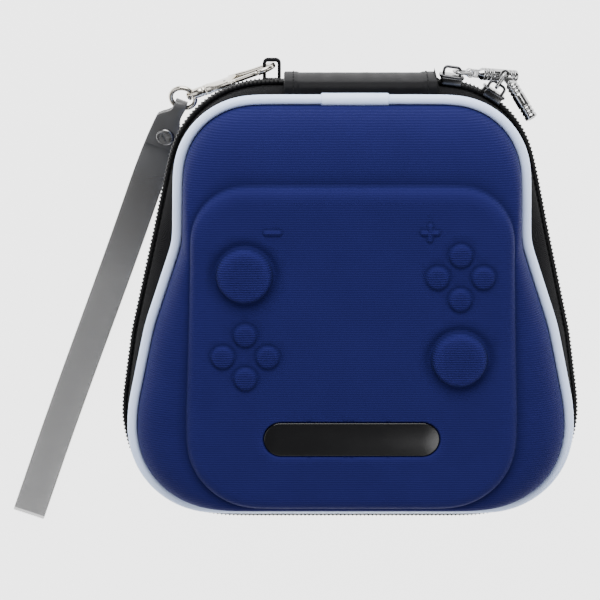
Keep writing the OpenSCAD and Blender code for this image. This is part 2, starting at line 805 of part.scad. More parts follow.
wrap_o = ring_wire_d / 2 + layer_play + strap_t / 2;
wrap_s = ring_r - sqrt(pow(ring_r, 2) - pow(strap_neck_w / 2, 2)) + layer_play;
fold_s = strap_l - fold_r - strap_t / 2;
return_end = screw_along + 5;
function upper_o(s) =
    between(0, layer / 2, (s - return_end - 0.5) / 10)
    + between(0, 2 * fold_r - layer, (s - fold_s + 34) / 34);
function lower_o(s) =
    s < return_end ? -between(wrap_o, layer, s / 8) : -between(layer, layer / 2, (s - return_end) / 10);
upper_stops = [8.6, 10.5, 12.5, 14.5, 16.5, 18.5, 21, 24, 28, 33, 40, 48, 65, 85, 105, 125];
lower_stops = [125, 85, 48, 40, 33, 28, 24, 21, 18, 15, 12.5, 10.5, 8, 6, 4, 2, 0];
strap_path = concat(
    [for (s = upper_stops) on_base(s, upper_o(s))],
    [for (i = [6:-1:0]) on_base(fold_s - 5 * i, upper_o(fold_s - 5 * i))],
    [for (a = [72:-18:-72]) [fold_s + fold_r * cos(a), strap_t / 2 + fold_r + fold_r * sin(a)]],
    [for (s = [fold_s, fold_s - 20]) on_base(s, lower_o(s))],
    [for (s = lower_stops) on_base(s, lower_o(s))],
    [for (a = [270:-30:90])
        on_base(-wrap_s + wrap_o * cos(a) * cos(atan(start_slope)), wrap_o * sin(a))],
    [for (s = [0, 2, 4, 6, 8, 10.5, 12.5, 15, return_end])
        on_base(s, between(wrap_o, layer, s / 8))]);

function strap_point(s, z, side) =
    let (bow = strap_bow * max(0, s) / 40 * exp(1 - max(0, s) / 40))
    at_z([wire_at[0], wire_at[1]] + strap_dir * s + strap_side * (side - bow), z);
function strap_half(s) = between(strap_neck_w, strap_w, (s - 3) / 13) / 2;

module screw_frame() {
    translate(strap_point(screw_along, base_z(screw_along), 0))
        rotate([0, atan(-base_slope(screw_along)), atan2(strap_dir[1], strap_dir[0])])
            children();
}

stack_half = 1.5 * strap_t + layer_play;
module wrist_strap() {
    out = normals(strap_path, false);
    color("lightslategray")
        difference() {
            skin([for (i = [0:len(strap_path) - 1])
                let (up = strap_path[i] + out[i] * strap_t / 2, down = strap_path[i] - out[i] * strap_t / 2)
                let (half = strap_half(strap_path[i][0]))
                [strap_point(up[0], up[1], half), strap_point(up[0], up[1], -half),
                    strap_point(down[0], down[1], -half), strap_point(down[0], down[1], half)]]);
            screw_frame() cylinder(d = screw_post_d + 0.1, h = 12, center = true);
        }
}

module strap_screw() {
    r = screw_head_d / 2;
    color("dimgray")
        screw_frame()
            difference() {
                translate([0, 0, stack_half + 0.1])
                    rotate_extrude()
                        polygon([[0, -3], [1.1, -3], [1.1, 0], [r, 0], [r, 0.4], [r - 0.3, 0.8],
                            [r - 0.8, 1.05], [r - 1.2, 1], [0, 1]]);
                translate([0, 0, stack_half + 0.65]) rotate(40) translate([-2.2, -0.4, 0]) cube([4.4, 0.8, 2]);
            }
}

module strap_screw_post() {
    r = screw_head_d / 2 - 0.3;
    color("dimgray")
        screw_frame()
            translate([0, 0, -stack_half - 0.1])
                difference() {
                    rotate_extrude()
                        polygon([[0, -0.9], [r - 0.5, -0.9], [r, -0.4], [r, 0], [screw_post_d / 2, 0],
                            [screw_post_d / 2, 2 * stack_half], [0, 2 * stack_half]]);
                    cylinder(r = 1.2, h = 20);
                }
}

front_shell();
rear_shell();
front_badge();
front_piping();
rear_piping();
front_piping_sleeve();
rear_piping_sleeve();
front_zip_tape();
rear_zip_tape();
front_zip_coil();
rear_zip_coil();
front_binding();
rear_binding();
hinge_spine();
slider_a();
slider_b();
link_a();
link_b();
pull_a();
pull_b();
strap_tab();
clasp_hook();
clasp_gate();
clasp_gate_pin();
clasp_spring();
swivel_ring();
wrist_strap();
strap_screw();
strap_screw_post();
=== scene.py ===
import math

import bmesh
import bpy
import numpy as np
from mathutils import Matrix, Vector
from mathutils.geometry import delaunay_2d_cdt


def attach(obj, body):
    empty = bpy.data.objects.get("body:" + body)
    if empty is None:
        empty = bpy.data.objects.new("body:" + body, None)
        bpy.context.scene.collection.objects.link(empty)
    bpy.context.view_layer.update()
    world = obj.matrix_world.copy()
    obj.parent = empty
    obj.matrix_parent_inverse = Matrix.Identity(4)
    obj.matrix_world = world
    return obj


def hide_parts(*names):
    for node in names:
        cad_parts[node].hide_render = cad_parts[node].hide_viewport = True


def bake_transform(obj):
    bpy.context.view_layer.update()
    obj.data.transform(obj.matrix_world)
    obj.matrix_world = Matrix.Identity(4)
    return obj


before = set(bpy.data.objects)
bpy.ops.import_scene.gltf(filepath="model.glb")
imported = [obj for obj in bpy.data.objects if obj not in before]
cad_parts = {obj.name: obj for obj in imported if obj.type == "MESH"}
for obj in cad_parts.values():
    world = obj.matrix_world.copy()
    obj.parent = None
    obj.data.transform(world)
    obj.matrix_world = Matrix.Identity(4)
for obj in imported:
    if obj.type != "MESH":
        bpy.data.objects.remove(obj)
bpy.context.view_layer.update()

# Camera. The case lies on its back and is seen from above through a long lens,
# a little from the side of its hinge.
look_at = Vector((-0.0187, 0.0003, 0.036))
tip = math.radians(15)
camera = bpy.data.objects.new("camera", bpy.data.cameras.new("camera"))
bpy.context.scene.collection.objects.link(camera)
camera.location = look_at + 0.9 * Vector((0, math.sin(tip), math.cos(tip)))
camera.rotation_euler = (-tip, 0, 0)
camera.data.lens = 145.8
camera.data.sensor_width = 36
camera.data.clip_start, camera.data.clip_end = 0.05, 20
bpy.context.scene.camera = camera

# Front shell. A sheet of foam with ribbed knitted cloth on both faces, pressed in a hot mould:
# the dome, the raised controller form, its sticks, buttons and signs and the badge's pocket
# are one pressing. Sizes are in millimetres, and a piece goes to metres as it is made.
mm = 0.001
rear_depth, gusset_h, front_rise, wall = 22.5, 27.0, 15.0, 3.0
piping_r, seam_play, form_step = 1.8, 0.1, 4.5
front_seam = rear_depth + gusset_h
mid_z = rear_depth + gusset_h / 2
shell_n = -(piping_r + seam_play)
edge_z = front_seam - piping_r
form_z = front_seam + front_rise + form_step
arc_steps, span_steps, last_span = (24, 12, 14, 12, 24), (10, 8, 8, 8, 10), 16
piping_corners = [(64, 79.8, 30), (65, 26, 25), (75.45, -5, 90), (82.5, -38, 60), (82.5, -78.5, 32)]
form_corners = [(57.5, 49.6, 20), (57.9, 20, 60), (58.9, -10, 60), (59.9, -33, 40), (60.3, -71, 26)]


def unit(v):
    return v / np.linalg.norm(v)


def corner_arc(before, corner, after, radius, steps):
    u, w = unit(before - corner), unit(after - corner)
    half = math.acos(max(-1.0, min(1.0, u @ w))) / 2
    middle = corner + unit(u + w) * radius / math.sin(half)
    start = corner + u * radius / math.tan(half) - middle
    side = -1 if u[0] * w[1] - u[1] * w[0] > 0 else 1
    a = side * (math.pi - 2 * half) * np.linspace(0, 1, steps + 1)
    return middle + np.stack([start[0] * np.cos(a) - start[1] * np.sin(a), start[0] * np.sin(a) + start[1] * np.cos(a)], 1)


def plan_outline(corners):
    """The closed outline of a plan, clockwise from its top middle, with its corners eased."""
    at = [np.array((0.0, corners[0][1]))] + [np.array(c[:2], float) for c in corners]
    at.append(np.array((0.0, corners[-1][1])))
    right, here = [], at[0]
    for i, (steps, span) in enumerate(zip(arc_steps, span_steps)):
        bend = corner_arc(at[i], at[i + 1], at[i + 2], corners[i][2], steps)
        right += [here + (bend[0] - here) * t for t in np.arange(span) / span] + list(bend[:-1])
        here = bend[-1]
    right = np.array(right + [here + (at[-1] - here) * t for t in np.linspace(0, 1, last_span + 1)])
    loop = np.concatenate([right, right[-2:0:-1] * (-1, 1)])
    for _ in range(8):
        loop = loop + 0.25 * (np.roll(loop, 1, 0) + np.roll(loop, -1, 0) - 2 * loop)
    return loop


def outward(points, closed=True):
    """The outward directions of a clockwise outline, or of an open run along one."""
    if closed:
        run = np.roll(points, -1, 0) - np.roll(points, 1, 0)
    else:
        run = np.gradient(points, axis=0)
    away = np.stack([-run[:, 1], run[:, 0]], 1)
    return away / np.linalg.norm(away, axis=1)[:, None]


def moved_out(points, d, closed=True):
    return points + outward(points, closed) * d


def at_height(points, z):
    return np.column_stack([points, np.broadcast_to(z, len(points))])


def dome(w, p):
    return (1 - (1 - w) ** p) ** (1 / p)


def wrapped(rows, count, around=True, closed=False, first=0):
    """The faces of a skin through rows of equal counts of points."""
    faces = []
    for i in range(rows if closed else rows - 1):
        for j in range(count if around else count - 1):
            a, b, k = i * count, ((i + 1) % rows) * count, (j + 1) % count
            faces.append((first + a + j, first + b + j, first + b + k, first + a + k))
    return faces


def new_piece(name, points, faces, finishes, sharp=40, merge=0.0, slots=None, outside=True):
    """A mesh from points in millimetres, its faces turned outwards and its edges sharp past an angle."""
    mesh = bpy.data.meshes.new(name)
    mesh.from_pydata((np.asarray(points, float) * mm).tolist(), [], faces)
    for finish in finishes:
        mesh.materials.append(finish)
    if slots is not None:
        mesh.polygons.foreach_set("material_index", slots)
    made = bpy.data.objects.new(name, mesh)
    bpy.context.scene.collection.objects.link(made)
    return settled(made, sharp, merge, outside)


def settled(made, sharp=40, merge=0.0, outside=True):
    """The piece with its doubles merged, its faces turned outwards and its shading set."""
    shape = bmesh.new()
    shape.from_mesh(made.data)
    if merge:
        bmesh.ops.remove_doubles(shape, verts=shape.verts, dist=merge * mm)
    if outside:
        bmesh.ops.recalc_face_normals(shape, faces=shape.faces)
    shape.to_mesh(made.data)
    shape.free()
    made.data.shade_smooth()
    made.data.set_sharp_from_angle(angle=math.radians(sharp))
    return made


class Shade:
    """A socket in a finish's node tree. Sums and products of sockets add their Math nodes."""

    def __init__(self, tree, socket=None):
        self.tree, self.socket = tree, socket

    def node(self, kind, inputs, output=0, stops=None, **settings):
        made = self.tree.nodes.new(kind)
        for name, value in settings.items():
            setattr(made, name, value)
        if stops:
            for stop, (place, colour) in zip(made.color_ramp.elements, stops):
                stop.position, stop.color = place, colour
        for key, value in inputs.items():
            if isinstance(value, Shade):
                self.tree.links.new(value.socket, made.inputs[key])
            else:
                made.inputs[key].default_value = value
        return Shade(self.tree, made.outputs[output]) if len(made.outputs) else None

    def output(self, key):
        return Shade(self.tree, self.socket.node.outputs[key])

    def math(self, operation, *values):
        return self.node("ShaderNodeMath", dict(enumerate(values)), operation=operation)

    def __add__(self, other):
        return self.math("ADD", self, other)

    def __radd__(self, other):
        return self.math("ADD", other, self)

    def __sub__(self, other):
        return self.math("SUBTRACT", self, other)

    def __rsub__(self, other):
        return self.math("SUBTRACT", other, self)

    def __mul__(self, other):
        return self.math("MULTIPLY", self, other)

    def __rmul__(self, other):
        return self.math("MULTIPLY", other, self)

    def wave(self, length):
        """0 to 1 and back over each length."""
        return self.math("SINE", self * (2 * math.pi / length)) * 0.5 + 0.5

    def held(self):
        return self.node("ShaderNodeClamp", {0: self})

    def cloud(self, size, detail=2.0, roughness=0.5):
        """Noise of a given grain in the place that this socket gives."""
        return self.node("ShaderNodeTexNoise", {"Vector": self, "Scale": 1 / size, "Detail": detail, "Roughness": roughness})

    def between(self, low, high):
        """The colour between two, by this socket."""
        return self.node("ShaderNodeMix", {0: self, 6: low, 7: high}, output=2, data_type="RGBA")

    def feeds(self, shader, socket):
        self.tree.links.new(self.socket, shader.inputs[socket])

    def presses(self, shader, depth):
        """Feeds a bump of this height, depth metres deep, to the surface."""
        self.node("ShaderNodeBump", {"Height": self, "Distance": depth, "Strength": 1.0}).feeds(shader, "Normal")


def new_finish(name, constants):
    """A material, a start for its nodes and its surface shader with its even values set."""
    made = bpy.data.materials.new(name)
    made.use_nodes = True
    shader = made.node_tree.nodes["Principled BSDF"]
    for socket, value in constants.items():
        shader.inputs[socket].default_value = value
    return made, Shade(made.node_tree), shader


def ribbed_cloth(name, deep, crest, sheen):
    """Fine ribbed knit. Its ribs run level across the case, 0.86 mm apart, by the cloth's own
    lay, which each shell carries as an attribute. A second one carries painted shade and
    highlight: lighter over the rims of pressed things, darker at the foot of each, where shade
    falls. A third says where the cloth is stretched so that its ribs stand open."""
    made, start, shader = new_finish(name, {"Sheen Weight": sheen, "Sheen Roughness": 0.45,
                                            "Sheen Tint": (0.35, 0.5, 1.0, 1.0), "Specular IOR Level": 0.08})
    lay = start.node("ShaderNodeAttribute", {}, output=1, attribute_name="cloth")
    across = start.node("ShaderNodeSeparateXYZ", {0: lay})
    down = across.output("Y")
    stray = lay.cloud(0.006, 3)
    rib = (down + stray * 0.0004).wave(0.00086)
    course = start.math("FLOOR", down * (1 / 0.00086))
    loop = (across + course * 0.0004).wave(0.0008)
    fuzz = lay.cloud(0.00025, 2, 0.7)
    mottle = lay.cloud(0.022, 4, 0.6)
    strained = start.node("ShaderNodeAttribute", {}, output=2, attribute_name="strained")
    opened = start.node("ShaderNodeAttribute", {}, output=2, attribute_name="opened")
    height = rib * 0.5 + loop * rib * 0.34 + fuzz * 0.24
    (height * (opened + 0.3)).presses(shader, 0.0003)
    # The tone takes in painted shade and highlight from the relief attribute: lighter rims, darker grooves.
    tone = ((height - 0.42) * (opened * 0.8 + 0.3) + mottle * 0.4 + 0.16 + strained).held()
    tone.between(deep, crest).feeds(shader, "Base Color")
    (0.92 - height * 0.2).held().feeds(shader, "Roughness")
    return made


piping_line = moved_out(plan_outline(piping_corners), -piping_r)
form_line = plan_outline(form_corners)
count = len(piping_line)
edge_out = moved_out(piping_line, shell_n)
edge_in = moved_out(piping_line, shell_n - wall)
foot_in = moved_out(form_line, -wall)

dome_steps = np.concatenate([0.94 * np.linspace(0, 1, 26) ** 2.2, (0.958, 0.972, 0.984, 0.993, 1.0)])
shoulder_steps = np.array((0.02, 0.05, 0.1, 0.17, 0.26, 0.37, 0.5, 0.66, 0.83, 1.0))
outer = [at_height(edge_out, edge_z)]
outer += [at_height(edge_out * (1 - w) + form_line * w, front_seam + front_rise * dome(w, 2.2)) for w in dome_steps]
foot_row = len(outer) - 1
outer += [at_height(moved_out(form_line, -1.3 * form_step * t), front_seam + front_rise + form_step * dome(t, 2.6))
          for t in shoulder_steps]
outer = np.array(outer)
for _ in range(4):
    near = slice(foot_row - 6, foot_row + 5)
    eased = 0.25 * outer[:-2] + 0.5 * outer[1:-1] + 0.25 * outer[2:]
    outer[near] = eased[near.start - 1:near.stop - 1]
inner = [at_height(edge_in, edge_z)]
inner += [at_height(edge_in * (1 - w) + foot_in * w, front_seam + (front_rise - wall) * dome(w, 2.2))
          for w in np.linspace(0, 1, 14) ** 2]
inner += [at_height(moved_out(foot_in, -1.3 * form_step * t), front_seam + front_rise - wall + form_step * dome(t, 2.6))
          for t in (0.1, 0.3, 0.6, 1.0)]
inner = np.array(inner)[::-1]

# What is pressed into the top of the form: each thing is a profile by distance from its edge
stick_at = [(-38.5, 18.0), (38.5, -13.0)]
button_at = [(x + 8.1 * dx, y + 8.1 * dy) for x, y in ((-38.4, -12.4), (38.4, 17.0))
             for dx, dy in ((1, 0), (0, 1), (-1, 0), (0, -1))]
sign_bars = [((24.9, 33.5), (29.9, 33.5)), ((27.4, 31.0), (27.4, 36.0)), ((-30.7, 33.5), (-26.1, 33.5))]
badge_y, badge_l, badge_w, badge_t = -43.3, 63.5, 12.5, 1.0
stick_profile = [(-10, 3.25), (-6, 3.2), (-3, 3.08), (-2.0, 2.96), (-1.4, 2.78), (-0.95, 2.5), (-0.6, 2.08), (-0.35, 1.55),
                 (-0.15, 0.85), (0.0, 0.2), (0.2, -0.25), (0.5, -0.5), (0.9, -0.58), (1.4, -0.47), (2.0, -0.25),
                 (2.7, -0.08), (3.5, 0)]
button_profile = [(-4.2, 1.15), (-2.4, 1.12), (-1.4, 1.04), (-0.95, 0.93), (-0.6, 0.74), (-0.35, 0.5), (-0.12, 0.15),
                  (0.1, -0.12), (0.35, -0.25), (0.65, -0.25), (1.0, -0.12), (1.4, 0)]
sign_profile = [(-0.85, 0.62), (-0.5, 0.55), (-0.25, 0.4), (0.0, 0.14), (0.25, -0.08), (0.55, -0.12), (1.0, 0)]
pocket_profile = [(-1.0, -1.2), (0.18, -1.2), (0.24, -0.9), (0.34, -0.5), (0.5, -0.22), (0.75, -0.08), (1.2, 0)]


def from_bar(points, a, b):
    """Distance of points from the line between a and b."""
    a, b = np.array(a), np.array(b)
    t = np.clip(((points - a) @ (b - a)) / ((b - a) @ (b - a)), 0, 1)
    return np.linalg.norm(points - a - t[:, None] * (b - a), axis=1)


def pressed_height(points):
    z = np.zeros(len(points))
    for x, y in stick_at:
        e = np.linalg.norm(points - (x, y), axis=1) - 10
        z += np.where(e < 3.5, np.interp(e, *zip(*stick_profile)), 0)
    for x, y in button_at:
        e = np.linalg.norm(points - (x, y), axis=1) - 4.2
        z += np.where(e < 1.4, np.interp(e, *zip(*button_profile)), 0)
    for bars in (sign_bars[:2], sign_bars[2:]):
        e = np.min([from_bar(points, *bar) for bar in bars], axis=0) - 0.9
        z += np.where(e < 1, np.interp(e, *zip(*sign_profile)), 0)
    half = (badge_l - badge_w) / 2
    e = from_bar(points, (-half, badge_y), (half, badge_y)) - badge_w / 2
    return z + np.where(e < 1.2, np.interp(e, *zip(*pocket_profile)), 0)


def strain(points):
    """Painted shade and highlight round the pressed things: above 0, lighter, on each rim, below 0, darker, in the
    groove round it.
    """
    # Each table of values paints a lighter rim and a darker groove, as shade and highlight.
    v = np.zeros(len(points))
    for places, r, share, reach in ((stick_at, 10, 1.3, 2.3), (button_at, 4.2, 0.6, 1.1)):
        for x, y in places:
            e = np.linalg.norm(points - (x, y), axis=1) - r
            v += share * np.interp(e, (-1.8 * reach, -0.6 * reach, -0.2, 0.1, 0.35 * reach, reach, 2 * reach), (0, 0.28, 0.1, -0.5, -0.75, -0.3, 0))
    for bars in (sign_bars[:2], sign_bars[2:]):
        e = np.min([from_bar(points, *bar) for bar in bars], axis=0) - 0.9
        v += np.interp(e, (-0.5, -0.1, 0.3, 1.0), (0.15, 0, -0.35, 0))
    half = (badge_l - badge_w) / 2
    e = from_bar(points, (-half, badge_y), (half, badge_y)) - badge_w / 2
    return v + np.interp(e, (0.1, 0.3, 0.8, 1.6), (-0.5, -0.3, 0.25, 0))


def ring(x, y, r, steps):
    a = np.linspace(0, 2 * math.pi, steps, endpoint=False)
    return np.stack([x + r * np.cos(a), y + r * np.sin(a)], 1)


def bar_outline(length, width, steps):
    """A bar with round ends about the origin, clockwise."""
    a = np.linspace(math.pi / 2, -math.pi / 2, steps)
    right = np.stack([(length - width) / 2 + width / 2 * np.cos(a), width / 2 * np.sin(a)], 1)
    straight = np.linspace(1, -1, 24)[1:-1, None] * ((length - width) / 2, 0)
    return np.concatenate([right, straight + (0, -width / 2), -right, -straight + (0, width / 2)])


rim = outer[-1][:, :2]
seeds = [rim]
for x, y in stick_at:
    seeds += [ring(x, y, 10 + e, 84) for e, _ in stick_profile[1:]] + [ring(x, y, r, 12 * i) for i, r in ((1, 1.2), (2, 2.6))]
for x, y in button_at:
    seeds += [ring(x, y, 4.2 + e, 52) for e, _ in button_profile[1:]] + [np.array([(x, y)])]
for x, y in ((27.4, 33.5), (-28.4, 33.5)):
    g = np.arange(-4.5, 4.51, 0.3)
    gx, gy = np.meshgrid(g, g)
    seeds.append(np.stack([x + gx.ravel(), y + gy.ravel()], 1))
seeds += [bar_outline(badge_l + 2 * e, badge_w + 2 * e, 40) + (0, badge_y) for e, _ in pocket_profile]
busy = np.concatenate(seeds)
gx, gy = np.meshgrid(np.arange(-57, 57.1, 2.6), np.arange(-68, 48, 2.6))
fill = np.stack([gx.ravel(), gy.ravel()], 1)
inside = np.zeros(len(fill), bool)
for p, q in zip(rim, np.roll(rim, -1, 0)):
    crosses = (p[1] > fill[:, 1]) != (q[1] > fill[:, 1])
    inside ^= crosses & (fill[:, 0] < (q[0] - p[0]) * (fill[:, 1] - p[1]) / (q[1] - p[1] + 1e-12) + p[0])
clear = np.array([np.min(np.abs(busy - p).max(1)) > 0.9 for p in fill])
flat = np.concatenate([busy, fill[inside & clear]])
edges = [(i, (i + 1) % count) for i in range(count)]
cut = delaunay_2d_cdt([Vector(p) for p in flat], edges, [], 1, 1e-5)
top_plan = np.array([tuple(p) for p in cut[0]])
top = at_height(top_plan, form_z + pressed_height(top_plan))

rows = np.concatenate([inner, outer])
points = np.concatenate([rows.reshape(-1, 3), top])
lay = points[:, :2]
faces = wrapped(len(rows), count)
slots = [1 if i < len(inner) * count else 0 for i in range(len(faces))]
faces.append(tuple(range(count)))
slots.append(1)
faces += [tuple(len(rows) * count + i for i in face) for face in cut[2]]
slots += [0] * len(cut[2])

blue_cloth = ribbed_cloth("blue_ribbed_cloth", (0.0045, 0.0052, 0.047, 1), (0.0105, 0.0113, 0.085, 1), 0.025)
lining_cloth = ribbed_cloth("lining_cloth", (0.004, 0.004, 0.005, 1), (0.014, 0.014, 0.016, 1), 0.04)


def shell(name, points, faces, slots, lay, **worked):
    mesh = bpy.data.meshes.new(name)
    mesh.from_pydata((points * mm).tolist(), [], faces)
    mesh.attributes.new("cloth", "FLOAT_VECTOR", "POINT").data.foreach_set("vector", (at_height(lay, 0) * mm).ravel())
    for way, values in worked.items():
        mesh.attributes.new(way, "FLOAT", "POINT").data.foreach_set("value", values)
    mesh.materials.append(blue_cloth)
    mesh.materials.append(lining_cloth)
    mesh.polygons.foreach_set("material_index", slots)
    made = bpy.data.objects.new(name, mesh)
    bpy.context.scene.collection.objects.link(made)
    return settled(made, 50, 0.002)


# Painted shade by row: darker towards the foot of the form's step, where shade falls, and a little lighter over its
# shoulder as a painted highlight.
row_shade_painted = np.zeros(len(rows))
row_shade_painted[len(inner) + foot_row - 6:len(inner) + foot_row + 3] = (-0.1, -0.2, -0.3, -0.4, -0.45, -0.4, -0.3, -0.1, 0.05)
row_shade_painted[len(inner) + foot_row + 3:-1] = 0.04
strained = np.concatenate([np.repeat(row_shade_painted, count), strain(top_plan)])
to_rows = np.concatenate([np.zeros(len(inner)), np.linspace(1, 0, 30) ** 1.5, np.zeros(len(outer) - 30)])
opened = np.concatenate([0.5 * np.repeat(to_rows, count), 0.45 * np.clip(pressed_height(top_plan) / 1.1, 0, 1)])
front_shell = shell("front_shell_pressed", points, faces, slots, lay, strained=strained, opened=opened)
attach(front_shell, "lid")
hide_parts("front_shell")

# Badge. A blank oval plate of satin black plastic, glued down in the pocket of the front shell.
# Its edge is rounded, so that it catches a thin line of light.
badge_made, start, shader = new_finish("badge_satin_black", {"Base Color": (0.003, 0.003, 0.0035, 1), "Specular IOR Level": 0.4})
place = start.node("ShaderNodeTexCoord", {}, output="Object")
grain = place.cloud(0.0009, 2)
scuffs = place.cloud(0.012, 5, 0.65)
grain.presses(shader, 0.00001)
(0.17 + scuffs * 0.1).feeds(shader, "Roughness")


def plate_rows(outline, low, high, r, steps=5):
    """Rows of a flat plate of a clockwise outline, with both its edges rounded."""
    a = np.linspace(0, math.pi / 2, steps)
    rows = [at_height(moved_out(outline, r * (np.sin(t) - 1)), low + r * (1 - np.cos(t))) for t in a]
    return rows + [at_height(moved_out(outline, r * (np.cos(t) - 1)), high - r * (1 - np.sin(t))) for t in a]


def capped(rows, first=0, closed=False, around=True):
    """Points and faces of a skin, with its two ends closed."""
    rows = np.array(rows)
    n, m = rows.shape[:2]
    faces = wrapped(n, m, around, closed, first)
    if not closed:
        faces += [tuple(first + i for i in range(m)), tuple(first + (n - 1) * m + i for i in range(m - 1, -1, -1))]
    return rows.reshape(-1, 3), faces


badge_floor = form_z - badge_t - 0.1
badge = new_piece("badge_plate", *capped(plate_rows(bar_outline(badge_l, badge_w, 40) + (0, badge_y), badge_floor,
                                                  badge_floor + badge_t, 0.35)), [badge_made], 50)
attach(badge, "lid")
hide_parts("front_badge")

# Rear shell. The same pressed foam and cloth, plain and shallower, with a flat back to lie on.
# It is lined as the front one is.
rest_corners = [(53.5, 57.6, 24), (54.5, 20, 60), (58.3, -10, 60), (60.3, -33, 60), (60.3, -65, 26)]
rest_line = plan_outline(rest_corners)
rest_in = moved_out(rest_line, -wall)
outer = [at_height(edge_out, rear_depth + piping_r)]
outer += [at_height(edge_out * (1 - w) + rest_line * w, rear_depth * (1 - dome(w, 2.5))) for w in np.linspace(0, 1, 24) ** 2.2]
inner = [at_height(edge_in, rear_depth + piping_r)]
inner += [at_height(edge_in * (1 - w) + rest_in * w, rear_depth - (rear_depth - wall) * dome(w, 2.5))
          for w in np.linspace(0, 1, 12) ** 2.2]
rows = np.concatenate([inner[::-1], outer])
lay = rows[:, :, :2].reshape(-1, 2)
faces = wrapped(len(rows), count)
slots = [1 if i < len(inner) * count else 0 for i in range(len(faces))]
faces += [tuple(range(count)), tuple((len(rows) - 1) * count + i for i in range(count - 1, -1, -1))]
rear_shell = shell("rear_shell_pressed", rows.reshape(-1, 3), faces, slots + [1, 0], lay)
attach(rear_shell, "case_base")
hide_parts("rear_shell")

# Piping. A cord of soft white plastic, sewn into each seam between shell and gusset. Its ends
# butt at the top middle, inside a short sleeve of the same plastic that is open towards the seam.
piping_made, start, shader = new_finish("piping_white", {"Specular IOR Level": 0.45, "Subsurface Weight": 0.08,
                                                         "Subsurface Radius": (0.6, 0.6, 0.8), "Subsurface Scale": 0.001})
place = start.node("ShaderNodeTexCoord", {}, output="Object")
soil = place.cloud(0.018, 4, 0.6)
(place.cloud(0.0016, 3) * 0.6 + soil * 0.4).presses(shader, 0.00004)
(soil * 1.3 - 0.15).held().between((0.56, 0.67, 0.95, 1), (0.63, 0.74, 1.0, 1)).feeds(shader, "Base Color")
(0.3 + soil * 0.14).feeds(shader, "Roughness")


def swept(path, right, up, section, closed=False):
    """Rows of a section carried along a path. right and up turn the section at each point."""
    path, section = np.asarray(path, float), np.asarray(section, float)
    right = np.broadcast_to(right, path.shape)
    up = np.broadcast_to(up, path.shape)
    return path[:, None] + section[None, :, :1] * right[:, None] + section[None, :, 1:2] * up[:, None]


def round_section(r, steps=16, squash=1.0):
    a = np.linspace(0, 2 * math.pi, steps, endpoint=False)
    return np.stack([r * np.cos(a), r * squash * np.sin(a)], 1)


def flipped(rows):
    """The same rows for the rear seam, which mirrors the front one about the middle of the zip."""
    rows = np.array(rows)
    return rows * (1, 1, -1) + (0, 0, 2 * mid_z)


sleeve_x, sleeve_l, sleeve_t = 0.9, 24.0, 0.4
up = np.array((0, 0, 1.0))
away = at_height(outward(piping_line), 0)
piping_rows = swept(at_height(piping_line, front_seam), away, up, round_section(piping_r, 18))
bore = piping_r + seam_play
a = np.radians(np.linspace(-42, 196, 34))
arc = np.stack([np.cos(a), np.sin(a)], 1)
jacket = np.concatenate([arc * (bore + sleeve_t), arc[::-1] * bore])
x = np.concatenate([(0, 0.15), np.linspace(0.4, sleeve_l - 0.4, 12), (sleeve_l - 0.15, sleeve_l)]) + sleeve_x - sleeve_l / 2
thick = np.interp(np.arange(len(x)), (0, 1, 2, len(x) - 3, len(x) - 2, len(x) - 1), (0.55, 0.85, 1, 1, 0.85, 0.55))
sleeve_rows = []
for place_x, share in zip(x, thick):
    section = np.concatenate([arc * (bore + sleeve_t * share), arc[::-1] * bore])
    sleeve_rows.append(np.column_stack([np.full(len(section), place_x), piping_line[0][1] + section[:, 0], front_seam + section[:, 1]]))
for name, turn, body in (("front", lambda rows: np.array(rows), "lid"), ("rear", flipped, "case_base")):
    cord = new_piece(name + "_piping_cord", *capped(turn(piping_rows), closed=True), [piping_made], 60)
    sleeve = new_piece(name + "_piping_joint", *capped(turn(sleeve_rows)), [piping_made], 50)
    for made, node in ((cord, "_piping"), (sleeve, "_piping_sleeve")):
        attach(made, body)
        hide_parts(name + node)

# Zip tapes. Each half of the gusset is a band of woven black tape, sewn under the piping of its
# shell and bent up to the zip. Between the two sliders the halves stand a little apart.
coil_t, coil_h, coil_pitch, tape_t = 2.3, 3.0, 1.5, 0.8
tape_out = -(coil_t + seam_play)
tape_in = tape_out - tape_t
zip_corners = [(60.7, 83.5, 37), (72.6, 28, 60), (81.5, -11, 60), (85.4, -38, 60), (85.4, -84, 40)]
zip_middle, zip_corner_r = np.array((30.7924, 46.5)), 37.0
slider_a_angle, slider_b_angle = 82.0, 57.0
spine_left, spine_right = -24.5, 30.5


def open_run(loop):
    """The part of an outline that runs round the case from one end of the spine to the other."""
    first, y = span_steps[0], loop[0][1]
    return np.concatenate([[(spine_right + seam_play, y)], loop[first:len(loop) - first + 1], [(spine_left - seam_play, y)]])


def eased(t):
    t = np.clip(t, 0, 1)
    return t * t * (3 - 2 * t)


def mouth_gap(points):
    """How far each half of the zip stands off between the two sliders."""
    a = np.degrees(np.arctan2(points[:, 1] - zip_middle[1], points[:, 0] - zip_middle[0]))
    return 0.88 * eased((a - slider_b_angle - 1.5) / 3) * eased((slider_a_angle - 1.5 - a) / 3)


def laid(made, lay):
    """Keeps the lay of a piece's cloth, in millimetres, as an attribute that its finish reads."""
    made.data.attributes.new("cloth", "FLOAT_VECTOR", "POINT").data.foreach_set("vector", (lay * mm).ravel())
    return made


